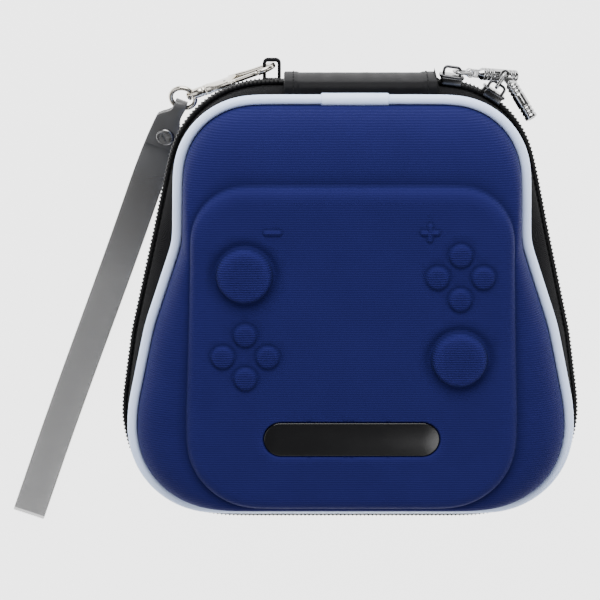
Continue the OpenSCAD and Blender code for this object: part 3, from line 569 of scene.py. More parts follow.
tape_made, start, shader = new_finish("tape_woven_black", {"Sheen Weight": 0.01, "Sheen Roughness": 0.5, "Specular IOR Level": 0.04})
lay = start.node("ShaderNodeAttribute", {}, output=1, attribute_name="cloth")
along = start.node("ShaderNodeSeparateXYZ", {0: lay})
across = along.output("Y")
zigzag = start.math("PINGPONG", across, 0.0022)
twill = (along + zigzag * 1.0 + lay.cloud(0.004, 3) * 0.0003).wave(0.0009)
pick = across.wave(0.0005)
dust = lay.cloud(0.014, 4, 0.65)
height = twill * 0.6 + pick * 0.25 + lay.cloud(0.0003, 2, 0.7) * 0.25
height.presses(shader, 0.0002)
(height * 0.6 + dust * 0.6 - 0.25).held().between((0.0025, 0.0025, 0.003, 1), (0.008, 0.008, 0.009, 1)).feeds(shader, "Base Color")
(0.88 - height * 0.2).feeds(shader, "Roughness")

zip_run = open_run(plan_outline(zip_corners))
piping_run = open_run(piping_line)
seam_z, low = edge_z - seam_play, mid_z + 1.0
mouth = mouth_gap(zip_run)
sewn = moved_out(piping_run, shell_n - wall + seam_play, False)
lip, under = moved_out(piping_run, 0.6, False), moved_out(piping_run, -0.6, False)
zip_out, zip_in = moved_out(zip_run, tape_out, False), moved_out(zip_run, tape_in, False)
bend_z = mid_z + 4.6
columns = [at_height(sewn, seam_z), at_height(moved_out(piping_run, -1.4, False), seam_z),
           at_height(moved_out(piping_run, -0.1, False), seam_z), at_height(moved_out(piping_run, 0.4, False), seam_z - 0.25),
           at_height(lip, seam_z - 0.8)]
for t in (0.12, 0.26, 0.42, 0.58, 0.74, 0.88, 0.97):
    bulge = 0.5 * math.sin(math.pi * t)
    columns.append(at_height(moved_out(lip * (1 - t) + zip_out * t, bulge, False), seam_z - 0.8 + (bend_z - seam_z + 0.8) * t))
columns += [at_height(zip_out, bend_z - 0.5), at_height(zip_out, low + 0.8 + mouth * 0.7), at_height(zip_out, low + mouth),
            at_height(zip_in, low + mouth), at_height(zip_in, low + 0.8 + mouth * 0.7), at_height(zip_in, bend_z - 0.5)]
for t in (0.9, 0.7, 0.5, 0.3, 0.1):
    bulge = 0.5 * math.sin(math.pi * t)
    columns.append(at_height(moved_out(under * (1 - t) + zip_in * t, bulge, False), seam_z - 1.3 + (bend_z - seam_z + 1.3) * t))
columns += [at_height(under, seam_z - tape_t), at_height(sewn, seam_z - tape_t)]
tape_rows = np.stack(columns, 1)
run_s = np.concatenate([[0], np.cumsum(np.linalg.norm(np.diff(zip_run, axis=0), axis=1))])
wide = np.concatenate([[0], np.cumsum(np.linalg.norm(np.diff(tape_rows[20], axis=0), axis=1))])
tape_lay = np.stack([np.repeat(run_s, len(wide)), np.tile(wide, len(run_s)), np.zeros(len(wide) * len(run_s))], 1)
for name, turn, body in (("front", lambda rows: np.array(rows), "lid"), ("rear", flipped, "case_base")):
    tape = laid(new_piece(name + "_tape_band", *capped(turn(tape_rows)), [tape_made], 50), tape_lay)
    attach(tape, body)
    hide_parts(name + "_zip_tape")

# Zip coils. A nylon wire wound into flat loops round a filler cord and stitched to the edge of
# each tape. The loops of one half stand in the gaps of the other, laid over a little.
coil_made, start, shader = new_finish("coil_nylon_black", {"Specular IOR Level": 0.1})
place = start.node("ShaderNodeTexCoord", {}, output="Object")
worn = place.cloud(0.003, 4, 0.6)
place.cloud(0.0004, 2).presses(shader, 0.00002)
(worn * 1.2 - 0.1).held().between((0.001, 0.001, 0.0012, 1), (0.005, 0.005, 0.0055, 1)).feeds(shader, "Base Color")
(0.26 + worn * 0.2).feeds(shader, "Roughness")


def evenly(path, pitch, shift=0.0):
    """Places along a path at an even pitch, the way it runs there and where each lies in its list."""
    path = np.asarray(path, float)
    at = np.concatenate([[0], np.cumsum(np.linalg.norm(np.diff(path, axis=0), axis=1))])
    n = int((at[-1] - 1) / pitch)
    stops = (at[-1] - n * pitch) / 2 + pitch * (np.arange(n) + 0.25 + shift)
    index = np.interp(stops, at, np.arange(len(path)))
    way = np.gradient(path, axis=0)
    pick = lambda values: np.stack([np.interp(index, np.arange(len(values)), values[:, k]) for k in range(values.shape[1])], 1)
    way = pick(way)
    return pick(path), way / np.linalg.norm(way, axis=1)[:, None], index


def loops_in_row(name, places, way, out, finish, half_length, half_width, wire, stance, steps=14, sides=6):
    """One loop of wire or thread at each place, turned by the way that the row runs and by the side it faces."""
    mesh = bpy.data.meshes.new(name)
    mesh.from_pydata((np.asarray(places) * mm).tolist(), [], [])
    for attribute, value in (("way", way), ("facing", out)):
        mesh.attributes.new(attribute, "FLOAT_VECTOR", "POINT").data.foreach_set("vector", np.ascontiguousarray(np.broadcast_to(value, np.shape(places)), dtype=float).ravel())
    row = bpy.data.objects.new(name, mesh)
    bpy.context.scene.collection.objects.link(row)
    tree = bpy.data.node_groups.new(name, "GeometryNodeTree")
    tree.interface.new_socket("Places", in_out="INPUT", socket_type="NodeSocketGeometry")
    tree.interface.new_socket("Loops", in_out="OUTPUT", socket_type="NodeSocketGeometry")
    sizes = {"Half length": half_length * mm, "Half width": half_width * mm, "Wire radius": wire * mm}
    for size in sizes:
        tree.interface.new_socket(size, in_out="INPUT", socket_type="NodeSocketFloat")
    tree.interface.new_socket("Stance", in_out="INPUT", socket_type="NodeSocketVector")
    start = Shade(tree)
    given = start.node("NodeGroupInput", {}, output="Places")
    scale = start.node("ShaderNodeCombineXYZ", {0: given.output("Half length"), 1: given.output("Half width"), 2: 1.0})
    line = start.node("GeometryNodeCurvePrimitiveCircle", {"Resolution": steps, "Radius": 1.0})
    line = start.node("GeometryNodeTransform", {"Geometry": line, "Scale": scale})
    section = start.node("GeometryNodeCurvePrimitiveCircle", {"Resolution": sides, "Radius": given.output("Wire radius")})
    loop = start.node("GeometryNodeCurveToMesh", {"Curve": line, "Profile Curve": section})
    loop = start.node("GeometryNodeTransform", {"Geometry": loop, "Rotation": given.output("Stance")})
    way_at = start.node("GeometryNodeInputNamedAttribute", {"Name": "way"}, data_type="FLOAT_VECTOR")
    facing = start.node("GeometryNodeInputNamedAttribute", {"Name": "facing"}, data_type="FLOAT_VECTOR")
    turn = start.node("FunctionNodeAxesToRotation", {"Primary Axis": facing, "Secondary Axis": way_at},
                      primary_axis="Z", secondary_axis="X")
    all_loops = start.node("GeometryNodeInstanceOnPoints", {"Points": given, "Instance": loop, "Rotation": turn})
    all_loops = start.node("GeometryNodeRealizeInstances", {"Geometry": all_loops})
    all_loops = start.node("GeometryNodeSetShadeSmooth", {"Geometry": all_loops, "Shade Smooth": True})
    all_loops = start.node("GeometryNodeSetMaterial", {"Geometry": all_loops, "Material": finish})
    start.node("NodeGroupOutput", {"Loops": all_loops})
    wound = row.modifiers.new("loops", "NODES")
    wound.node_group = tree
    values = dict(sizes, Stance=[math.radians(v) for v in stance])
    for item in tree.interface.items_tree:
        if item.in_out == "INPUT" and item.name in values:
            wound[item.identifier] = values[item.name]
    bpy.context.view_layer.update()
    row.data = bpy.data.meshes.new_from_object(row.evaluated_get(bpy.context.evaluated_depsgraph_get()))
    row.modifiers.clear()
    return row


def oval(steps, power):
    """A unit section between a circle and a square."""
    a = np.linspace(0, 2 * math.pi, steps, endpoint=False)
    return np.stack([np.sign(np.cos(a)) * np.abs(np.cos(a)) ** power, np.sign(np.sin(a)) * np.abs(np.sin(a)) ** power], 1)


coil_line = moved_out(zip_run, -coil_t / 2 - 0.02, False)
facing_out = at_height(outward(zip_run, False), 0)
coil_path = at_height(coil_line, mid_z + 1.24)
for name, turn, body, shift in (("front", 1, "lid", 0.0), ("rear", -1, "case_base", 0.5)):
    places, way, index = evenly(coil_path, coil_pitch, shift)
    places[:, 2] += np.interp(index, np.arange(len(mouth)), mouth)
    out = np.column_stack([-way[:, 1], way[:, 0], 0 * way[:, 0]])
    places[:, 2] = mid_z + turn * (places[:, 2] - mid_z)
    coil = loops_in_row(name + "_coil_loops", places, way, out, coil_made, 0.85, 0.8, 0.35, (90, turn * 11, 90))
    filler_path = at_height(moved_out(coil_line, -0.25, False), mid_z + turn * (1.2 + mouth))
    filler = new_piece(name + "_coil_filler_cord", *capped(swept(filler_path, facing_out, up, oval(12, 0.7) * (0.96, 1.08))), [coil_made], 60)
    for made in (coil, filler):
        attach(made, body)
        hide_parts(name + "_zip_coil")

# Stitches that hold each coil to its tape: a row of black thread just beside the loops.
thread_made, start, shader = new_finish("thread_black", {"Specular IOR Level": 0.08})
place = start.node("ShaderNodeTexCoord", {}, output="Object")
ply = (start.node("ShaderNodeSeparateXYZ", {0: place}) + place.cloud(0.0006, 2) * 0.0006).wave(0.0003)
ply.presses(shader, 0.00005)
(ply * 0.8).between((0.003, 0.003, 0.0035, 1), (0.011, 0.011, 0.012, 1)).feeds(shader, "Base Color")
(0.75 - ply * 0.15).feeds(shader, "Roughness")


def stitches(name, path, out, body, pitch=2.6, length=0.95, thread=0.2, finish=thread_made):
    """A sewn row: each stitch is half sunk in the cloth that it holds."""
    places, way, index = evenly(path, pitch)
    out = np.broadcast_to(out, np.shape(path))
    facing = np.stack([np.interp(index, np.arange(len(path)), out[:, k]) for k in range(3)], 1)
    row = loops_in_row(name, places, way, facing, finish, length, 0.16, thread, (90, 0, 0), 12, 6)
    if isinstance(body, str):
        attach(row, body)
    else:
        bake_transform(row)
    return row


beside = moved_out(zip_run, tape_out + 0.02, False)
facing = at_height(outward(zip_run, False), 0)
for name, turn, body in (("front", 1, "lid"), ("rear", -1, "case_base")):
    stitches(name + "_coil_stitches", at_height(beside, mid_z + turn * 3.55), facing, body, 2.1, 0.72, 0.16)

# Bindings. A folded strip of ribbed black ribbon covers each raw seam inside the case, sewn
# through shell, piping and tape in one row.
ribbon_made, start, shader = new_finish("ribbon_ribbed_black", {"Sheen Weight": 0.01, "Specular IOR Level": 0.05})
lay = start.node("ShaderNodeAttribute", {}, output=1, attribute_name="cloth")
along = start.node("ShaderNodeSeparateXYZ", {0: lay})
cord_rib = (along + lay.cloud(0.003, 2) * 0.0003).wave(0.0007)
height = cord_rib * 0.7 + lay.cloud(0.0003, 2) * 0.3
height.presses(shader, 0.00018)
height.between((0.002, 0.002, 0.0025, 1), (0.008, 0.008, 0.009, 1)).feeds(shader, "Base Color")
(0.85 - height * 0.2).feeds(shader, "Roughness")
binding_w = 3.0
binding_line = moved_out(piping_line, shell_n - wall - seam_play - 0.6)
a = np.linspace(0, 2 * math.pi, 14, endpoint=False)
section = np.stack([0.6 * np.sign(np.cos(a)) * np.abs(np.cos(a)) ** 0.6, binding_w / 2 * np.sign(np.sin(a)) * np.abs(np.sin(a)) ** 0.6], 1)
binding_rows = swept(at_height(binding_line, edge_z - 1 + binding_w / 2), at_height(outward(binding_line), 0), up, section)
around = np.concatenate([[0], np.cumsum(np.linalg.norm(np.diff(binding_line, axis=0), axis=1))])
binding_lay = np.stack([np.repeat(around, len(a)), np.tile(a, len(around)), np.zeros(len(a) * len(around))], 1)
inward = -at_height(outward(binding_line), 0)
seam_path = at_height(moved_out(binding_line, -0.62), edge_z - 1 + binding_w / 2)
for name, turn, body in (("front", lambda rows: np.array(rows), "lid"), ("rear", flipped, "case_base")):
    strip = laid(new_piece(name + "_binding_ribbon", *capped(turn(binding_rows), closed=True), [ribbon_made], 60), binding_lay)
    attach(strip, body)
    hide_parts(name + "_binding")
    stitches(name + "_binding_stitches", turn(seam_path), inward, body, 3.0, 1.1, 0.2)

# Hinge spine. A strip of smooth black coated cloth that closes the gusset where there is no zip,
# made as two long halves, one beside each shell. Its two ends are hemmed and sewn over the
# ends of the zip.
spine_made, start, shader = new_finish("spine_coated_black", {"Specular IOR Level": 0.06, "Coat Roughness": 0.35})
place = start.node("ShaderNodeTexCoord", {}, output="Object")
grain = start.node("ShaderNodeTexVoronoi", {"Vector": place, "Scale": 1600.0}, feature="SMOOTH_F1")
creases = place.cloud(0.007, 5, 0.55)
(grain * 0.5 + creases * 0.6).presses(shader, 0.00012)
(creases * 1.4 - 0.2).held().between((0.0015, 0.0015, 0.002, 1), (0.0045, 0.0045, 0.0055, 1)).feeds(shader, "Base Color")
(0.46 + creases * 0.2).feeds(shader, "Roughness")
(creases * 0.03).feeds(shader, "Coat Weight")
spine_y, spine_t, bend = 85.0, 1.2, 2.2
spine_in = piping_line[0][1] + shell_n - wall + seam_play
half = edge_z - mid_z - 0.2


def spine_face(inset):
    """One face of the spine's section from its upper sewn edge round its back to its lower one."""
    a = np.radians(np.linspace(90, 0, 9))
    y = np.linspace(spine_in, spine_y - bend, 8)[:-1]
    upper = [(v, half - inset) for v in y]
    upper += [(spine_y - bend + (bend - inset) * math.cos(t), half - bend + (bend - inset) * math.sin(t)) for t in a]
    back = [(spine_y - inset, z) for z in np.linspace(half - bend, 0, 9)[1:-1]]
    upper = np.array(upper + back + [(spine_y - inset, 0)])
    whole = np.concatenate([upper, upper[-2::-1] * (1, -1)])
    whole[:, 0] -= 1.9 * np.clip((whole[:, 0] - spine_in) / 8, 0, 1) * (whole[:, 1] / half) ** 2
    return whole


face, lining = spine_face(0), spine_face(spine_t)
face_out = -outward(face, False) if outward(face, False)[0][1] < 0 else outward(face, False)
stations = np.concatenate([(0, 0.12, 0.35), np.linspace(0.8, 5.2, 8), np.linspace(5.6, 49.4, 46), np.linspace(49.8, 54.2, 8), (54.65, 54.88, 55)])
middle = len(face) // 2
spine_back, spine_fold_y, spine_fold_z = 0.0855, 0.080, half - 0.1
low_fold = ("case_base", "spine", (0, spine_fold_y, (mid_z - spine_fold_z) * mm), (0, spine_back, (mid_z - 6) * mm))
high_fold = ("spine", "lid", (0, spine_back, (mid_z + 6) * mm), (0, spine_fold_y, (mid_z + spine_fold_z) * mm))
for side, part, fold in (("front", slice(0, middle + 1), high_fold), ("rear", slice(middle, None), low_fold)):
    spine_rows = []
    for s in stations:
        near_end = min(s, 55 - s)
        hem = 0.34 * float(eased((5.5 - near_end) / 0.7)) - 0.5 * max(0.0, 1 - near_end / 0.35)
        slack = 0.12 * math.sin(s * 0.9) * math.sin(s * 0.23 + 1) * float(eased((near_end - 5) / 5))
        skin = face + face_out * (hem + slack * np.cos(face[:, 1:2] * 0.22))
        section = np.concatenate([skin[part], lining[part][::-1]])
        spine_rows.append(np.column_stack([np.full(len(section), spine_left + s), section[:, 0], mid_z + section[:, 1]]))
    spine = new_piece("hinge_spine_cover_" + side, *capped(spine_rows), [spine_made], 50)
    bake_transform(spine)
    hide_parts("hinge_spine")
    sewn_face, sewn_out = (face + face_out * 0.33)[part], at_height(face_out[part], 0)[:, [2, 0, 1]]
    kept = slice(3, None) if side == "front" else slice(0, -3)
    for end, s in (("left", 3.4), ("right", 51.6)):
        path = np.column_stack([np.full(len(sewn_face), spine_left + s), sewn_face[:, 0], mid_z + sewn_face[:, 1]])
        stitches("spine_stitches_" + side + "_" + end, path[kept], sewn_out[kept], fold, 2.8, 1.05, 0.2)

# Sliders. Two die-cast sliders, plated black and polished: an outer and an inner plate joined by
# a wedge, flanges that gather the coils, and an arch over the outer plate that holds the pull.
gun_made, start, shader = new_finish("plating_black_bright", {"Metallic": 1.0})
place = start.node("ShaderNodeTexCoord", {}, output="Object")
worn = place.cloud(0.004, 5, 0.6)
worn.presses(shader, 0.00001)
(worn * 1.6 - 0.35).held().between((0.03, 0.03, 0.032, 1), (0.09, 0.09, 0.093, 1)).feeds(shader, "Base Color")
(0.16 + worn * 0.14).feeds(shader, "Roughness")
slider_l, slider_t, slider_play, slider_h = 9.0, 1.2, 0.4, 4.4
wedge_from, wedge_to = 2.6, 4.2
bail_t, bail_l, bail_w = 1.0, 7.0, 1.6
bail_rise = slider_play + slider_t + 2.2


def rounded(corners, steps=6):
    """A closed clockwise outline through corners (x, y, radius)."""
    at = [np.array(c[:2], float) for c in corners]
    return np.concatenate([corner_arc(at[i - 1], at[i], at[(i + 1) % len(at)], corners[i][2], steps) for i in range(len(at))])


def turned_about_x(profile, steps=36):
    """Rows of a turned piece, from its (x, radius) profile."""
    a = np.linspace(0, 2 * math.pi, steps, endpoint=False)
    return [np.column_stack([np.full(steps, x), max(r, 0.004) * np.cos(a), max(r, 0.004) * np.sin(a)]) for x, r in profile]


def built(name, parts, matrix, finishes, sharp=40, merge=0.0):
    """One piece of several closed parts, set in its place by a matrix in millimetres."""
    points, faces = [], []
    for part_points, part_faces in parts:
        faces += [tuple(i + sum(len(p) for p in points) for i in face) for face in part_faces]
        points.append(np.asarray(part_points, float))
    points = np.concatenate(points)
    points = points @ np.array(matrix)[:3, :3].T + np.array(matrix)[:3, 3]
    return new_piece(name, points, faces, finishes, sharp, merge)


def on_side(rows):
    """Rows of a flat plate whose outline lies along and across the zip, and whose thickness points out of it."""
    return np.array(rows)[:, :, [2, 0, 1]]


def at_zip(angle):
    return (Matrix.Translation((*zip_middle, mid_z)) @ Matrix.Rotation(math.radians(angle), 4, "Z")
            @ Matrix.Translation((zip_corner_r, 0, 0)))


def slider_parts(front):
    """front is 1 where the wedge looks the way the angle grows, or -1."""
    def body(share):
        wide, narrow = slider_h * share, slider_h * share * 0.86
        ends = (narrow, wide) if front > 0 else (wide, narrow)
        half = slider_l / 2
        return rounded([(-half, ends[0], 1.9), (half, ends[1], 1.9), (half, -ends[1], 1.9), (-half, -ends[0], 1.9)], 8)
    inner_from = tape_in - slider_play - slider_t - 0.2
    parts = [capped(on_side(plate_rows(body(1), slider_play, slider_play + slider_t, 0.5)))]
    parts.append(capped(on_side(plate_rows(body(0.78), inner_from, inner_from + slider_t, 0.4))))
    for s in (-1, 1):
        z = s * (slider_h - 0.55)
        flange = rounded([(-3.6, z + 0.5, 0.4), (3.6, z + 0.5, 0.4), (3.6, z - 0.5, 0.4), (-3.6, z - 0.5, 0.4)], 4)
        parts.append(capped(on_side(plate_rows(flange, tape_out + slider_play, slider_play + 0.3, 0.2, 3))))
    a, b = (wedge_from, wedge_to) if front > 0 else (-wedge_to, -wedge_from)
    wedge = rounded([(a, 0.9, 0.5), (b, 0.9, 0.7), (b, -0.9, 0.7), (a, -0.9, 0.5)], 4)
    parts.append(capped(on_side(plate_rows(wedge, inner_from + 0.6, slider_play + 0.6, 0.1, 3))))
    stem, top, side = slider_play + 0.7, bail_rise + bail_t / 2, bail_l / 2 - bail_t / 2
    arch = corner_arc(np.array((stem, -side)), np.array((top, -side)), np.array((top, side)), 1.3, 8)
    arch = np.concatenate([[(stem, -side), (stem + 0.8, -side)], arch, [(top, 0)], arch[::-1] * (1, -1), [(stem + 0.8, side), (stem, side)]])
    way = np.gradient(arch, axis=0)
    way /= np.linalg.norm(way, axis=1)[:, None]
    path = at_height(arch, 0)
    rows = swept(path, np.column_stack([-way[:, 1], way[:, 0], 0 * way[:, 0]]), up, oval(16, 0.6) * (bail_t / 2, bail_w / 2))
    parts.append(capped(rows))
    return parts


for name, angle, front in (("slider_a", slider_a_angle, -1), ("slider_b", slider_b_angle, 1)):
    body = built(name + "_body", slider_parts(front), at_zip(angle), [gun_made], 45)
    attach(body, name)
    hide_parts(name)

# Links and pulls. A bent wire link joins each slider's arch to the eye of its pull. The pull is a
# turned tube, ringed at both ends, plated bright.
chrome_made, start, shader = new_finish("plating_bright", {"Metallic": 1.0})
place = start.node("ShaderNodeTexCoord", {}, output="Object")
worn = place.cloud(0.005, 5, 0.6)
worn.presses(shader, 0.000006)
(worn * 1.5 - 0.3).held().between((0.27, 0.27, 0.275, 1), (0.42, 0.42, 0.42, 1)).feeds(shader, "Base Color")
(0.07 + worn * 0.1).feeds(shader, "Roughness")
link_wire_d, link_l, pull_d, pull_l, tongue_t, eye_r = 1.2, 5.8, 4.6, 16.0, 2.0, 1.7
link_half = tongue_t / 2 + 0.7
wire_n = slider_play + slider_t + 0.5 + link_wire_d / 2
wire_a_along = -(bail_l / 2 - bail_t - link_wire_d / 2 - 0.7)


def wire_place(angle, along):
    a = math.radians(angle)
    n = zip_corner_r + wire_n
    return Vector((zip_middle[0] + n * math.cos(a) - along * math.sin(a), zip_middle[1] + n * math.sin(a) + along * math.cos(a), mid_z))


def pull_frame(at, turn, drop):
    return Matrix.Translation(at) @ Matrix.Rotation(math.radians(turn), 4, "Z") @ Matrix.Rotation(math.radians(drop), 4, "Y")


def link_part():
    z = link_half + 0.4
    line = rounded([(0, z, 0.9), (link_l, z, 0.9), (link_l, -z, 0.9), (0, -z, 0.9)], 7)
    out = outward(line)
    path = np.column_stack([line[:, 0], 0 * line[:, 0], line[:, 1]])
    rows = swept(path, np.column_stack([out[:, 0], 0 * out[:, 0], out[:, 1]]), (0, 1, 0), round_section(link_wire_d / 2 - 0.02, 14))
    return capped(rows, closed=True)


def pull_parts():
    neck, r = eye_r + 1.1, pull_d / 2
    profile = [(0, 0), (0, 1.0), (0.15, 1.25), (0.9, 1.65), (1.5, 2.05), (1.85, r - 0.04), (2.05, r)]
    for base in (2.2, pull_l - 5.2):
        for i in range(3):
            y = base + i * 1.5
            profile += [(y - 0.06, r), (y + 0.04, r - 0.06), (y + 0.14, r - 0.3), (y + 0.56, r - 0.3), (y + 0.66, r - 0.06), (y + 0.76, r)]
        if base < 5:
            profile += [(y + 1.4, r), (pull_l - 6.2, r)]
    profile += [(pull_l - 0.5, r), (pull_l - 0.2, r - 0.1), (pull_l - 0.03, r - 0.4), (pull_l, r - 0.8),
                (pull_l - 0.25, r - 1.0), (pull_l - 0.25, 0)]
    tube = np.array(turned_about_x(profile)) + (neck, 0, 0)
    washer = [(0.92, -0.75), (1.1, -1.0), (1.5, -1.0), (eye_r, -0.8), (eye_r, 0.8), (1.5, 1.0), (1.1, 1.0), (0.92, 0.75)]
    a = np.linspace(0, 2 * math.pi, 32, endpoint=False)
    eye = [np.array([(p * math.cos(t), p * math.sin(t), q) for p, q in washer]) for t in a]
    bar = rounded([(1.2, 1.5, 0.3), (neck + 0.6, 1.5, 0.3), (neck + 0.6, -1.5, 0.3), (1.2, -1.5, 0.3)], 3)
    return [capped(tube), capped(eye, closed=True), capped(plate_rows(bar, -tongue_t / 2, tongue_t / 2, 0.25, 4))]


for name, at, turn, drop, link_turn in (("a", wire_place(slider_a_angle, wire_a_along), -8, 21, 0),
                                        ("b", wire_place(slider_b_angle, 0), -58, -17, 116)):
    place = pull_frame(at, turn, drop)
    swung = place @ Matrix.Rotation(math.radians(link_turn), 4, "Z")
    eye_at = place @ Matrix.Translation((link_l * math.cos(math.radians(link_turn)), link_l * math.sin(math.radians(link_turn)), 0))
    link = built("link_" + name + "_wire", [link_part()], swung, [chrome_made], 60)
    pull = built("pull_" + name + "_tube", pull_parts(), eye_at, [chrome_made], 35)
    for made, node, slot in ((link, "link_" + name, "bright_metal"), (pull, "pull_" + name, "pull_metal")):
        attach(made, node)
        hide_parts(node)

# Strap tab. A short loop of woven black ribbon, its ends sewn into the gusset beside the spine.
tab_w, tab_t, tab_z, tab_l, tab_top = 3.4, 1.3, 29.2, 6.7, 89.6
tab_right = spine_left - 1.1
tab_root = 83.5 + tape_out + 0.2 - 0.4
m = tab_t / 2
line = rounded([(tab_right - tab_l + m, tab_top - m, 1.3), (tab_right - m, tab_top - m, 1.3),
                (tab_right - m, tab_root + m, 0.8), (tab_right - tab_l + m, tab_root + m, 0.8)], 8)
around = np.concatenate([[0], np.cumsum(np.linalg.norm(np.diff(line, axis=0), axis=1))])
section = oval(16, 0.5) * (m - 0.02, tab_w / 2)
rows = swept(at_height(line, tab_z), at_height(outward(line), 0), up, section)
lay = np.stack([np.repeat(around, 16), np.tile(section[:, 1], len(line)), np.zeros(16 * len(line))], 1)
tab = laid(new_piece("strap_tab_ribbon", *capped(rows, closed=True), [ribbon_made], 60), lay)
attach(tab, "case_base")
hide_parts("strap_tab")

# Clasp. A cast swivel clasp, plated in warm bright metal: a body that flares from the swivel's
# collar, a bow round to the gate's tip, and a sprung gate with a thumb piece.
silver_made, start, shader = new_finish("plating_warm_bright", {"Metallic": 1.0})
place = start.node("ShaderNodeTexCoord", {}, output="Object")
worn = place.cloud(0.006, 5, 0.6)
worn.presses(shader, 0.000008)
(worn * 1.5 - 0.3).held().between((0.44, 0.41, 0.36, 1), (0.64, 0.61, 0.55, 1)).feeds(shader, "Base Color")
(0.12 + worn * 0.16).feeds(shader, "Roughness")
ring_at = Vector((-62, 72.6, 17))
hook_at = Vector((tab_right - tab_l + tab_t + 2.2, tab_top - 2.8, tab_z + 1))
clasp_dir = hook_at - ring_at
clasp_turn = math.atan2(clasp_dir[1], clasp_dir[0])
clasp_rise = math.asin(clasp_dir[2] / clasp_dir.length)
clasp_l, clasp_end_r, bow_t, clasp_t, gate_t = 28.0, 4.9, 2.0, 3.2, 1.6
body_x = clasp_dir.length - clasp_l
end_x = clasp_l - clasp_end_r + bow_t / 2
gate_tip = end_x - 0.8
pivot = (9.2, 2.7)
ring_r, ring_wire_d = 4.6, 1.8
clasp_frame = Matrix.Translation(ring_at) @ Matrix.Rotation(clasp_turn, 4, "Z") @ Matrix.Rotation(-clasp_rise, 4, "Y")
in_clasp = clasp_frame @ Matrix.Translation((body_x, 0, 0))


def upright(path, half_in, half_side, power=0.7, steps=16):
    """Rows of a bar in the clasp's plane: half its size in the plane and half across it, point by point."""
    path = np.asarray(path, float)
    way = np.gradient(path, axis=0)
    way /= np.linalg.norm(way, axis=1)[:, None]
    in_plane = np.column_stack([-way[:, 1], 0 * way[:, 0], way[:, 0]])
    spine_of = np.column_stack([path[:, 0], 0 * path[:, 0], path[:, 1]])
    unit_section = oval(steps, power)
    half_in, half_side = np.broadcast_to(half_in, len(path)), np.broadcast_to(half_side, len(path))
    return np.stack([p + np.outer(unit_section[:, 0] * a, n) + np.outer(unit_section[:, 1] * b, (0, 1, 0))
                     for p, n, a, b in zip(spine_of, in_plane, half_in, half_side)])


xs = np.array((0, 0.12, 0.4, 1.2, 2.2, 3.0, 4.2, 5.6, 7.0, 8.4, 9.8, 10.8, 11.4, 11.75, 11.9))
tall = np.interp(xs, (0, 3, 8, 12), (2.2, 2.6, 4.3, 4.85)) * np.interp(xs, (0, 0.12, 0.4, 11, 11.4, 11.75, 11.9), (0.72, 0.9, 1, 1, 0.96, 0.85, 0.7))
thick = np.interp(xs, (0, 3, 7), (2.0, 1.75, clasp_t / 2)) * np.interp(xs, (0, 0.12, 0.4, 11, 11.4, 11.75, 11.9), (0.72, 0.9, 1, 1, 0.94, 0.75, 0.5))
body = upright(np.stack([xs, 0 * xs], 1), tall, thick, 0.75, 24)
a = np.radians(np.linspace(-90, 90, 22))
bow = [(8.5, -3.6), (10, -3.75), (12, -3.9), (14, -3.9), (16, -3.9), (19, -3.9), (22, -3.9)]
bow += [(end_x + 3.9 * math.cos(t), 3.9 * math.sin(t)) for t in a]
bow = np.array(bow + [(gate_tip + 0.55, 3.9), (gate_tip + 0.42, 3.9)])
side = np.interp(bow[:, 0], (9, 13, 17), (1.55, 1.4, 1.0))
thin = np.full(len(bow), bow_t / 2)
thin[-1], side[-1] = 0.75, 0.75
collar = [(-0.9, 1.15), (-0.85, 1.6), (-0.6, 1.9), (-0.1, 2.05), (0.35, 2.05), (0.5, 1.7), (0.5, 0)]
stud_at = ring_r - ring_wire_d / 2 - 1.5 - body_x
stud = [(stud_at, 0), (stud_at, 1.2), (stud_at + 0.2, 1.55), (stud_at + 0.5, 1.68), (stud_at + 0.9, 1.6), (stud_at + 1.0, 1.0), (0.5, 1.0), (0.5, 0)]
hook = built("clasp_body_and_bow", [capped(body), capped(upright(bow, thin, side)), capped(turned_about_x(stud, 28)),
                                    capped(turned_about_x([(-0.25, 0)] + [(x + 0.65, r) for x, r in collar], 32))],
             in_clasp, [silver_made], 50)
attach(hook, "clasp")
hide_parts("clasp_hook")
gate_line = np.array([(8.0, 2.9), (9.2, 3.2), (10.6, 3.6), (12.0, 3.85), (14, 3.88), (17, 3.88), (20, 3.88), (gate_tip - 0.3, 3.88), (gate_tip, 3.88)])
gate_in = np.array((0.6, 0.95, 1.0, 0.95, 0.9, 0.9, 0.9, 0.9, 0.7))
thumb = np.array([(12.3, 4.5), (12.8, 4.9), (13.3, 5.3), (13.9, 5.55), (14.4, 5.5), (14.6, 5.3)])
gate = built("clasp_gate_lever", [capped(upright(gate_line, gate_in, np.minimum(gate_in, gate_t / 2))),
                                  capped(upright(thumb, (0.3, 0.7, 0.85, 0.8, 0.55, 0.2), (0.5, 0.8, 0.8, 0.8, 0.7, 0.3)))],
             in_clasp, [silver_made], 50)
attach(gate, "gate")
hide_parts("clasp_gate")

# Gate pin and spring. Drawn steel, set in the clasp's body; they show only as the gate opens.
steel_made, start, shader = new_finish("steel_drawn", {"Metallic": 1.0})
place = start.node("ShaderNodeTexCoord", {}, output="Object")
drawn = place.cloud(0.0008, 4, 0.6)
drawn.presses(shader, 0.00001)
drawn.between((0.3, 0.3, 0.31, 1), (0.55, 0.55, 0.56, 1)).feeds(shader, "Base Color")
(0.25 + drawn * 0.15).feeds(shader, "Roughness")
for name in ("clasp_gate_pin", "clasp_spring"):
    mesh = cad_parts[name].data
    mesh.materials.clear()
    mesh.materials.append(steel_made)

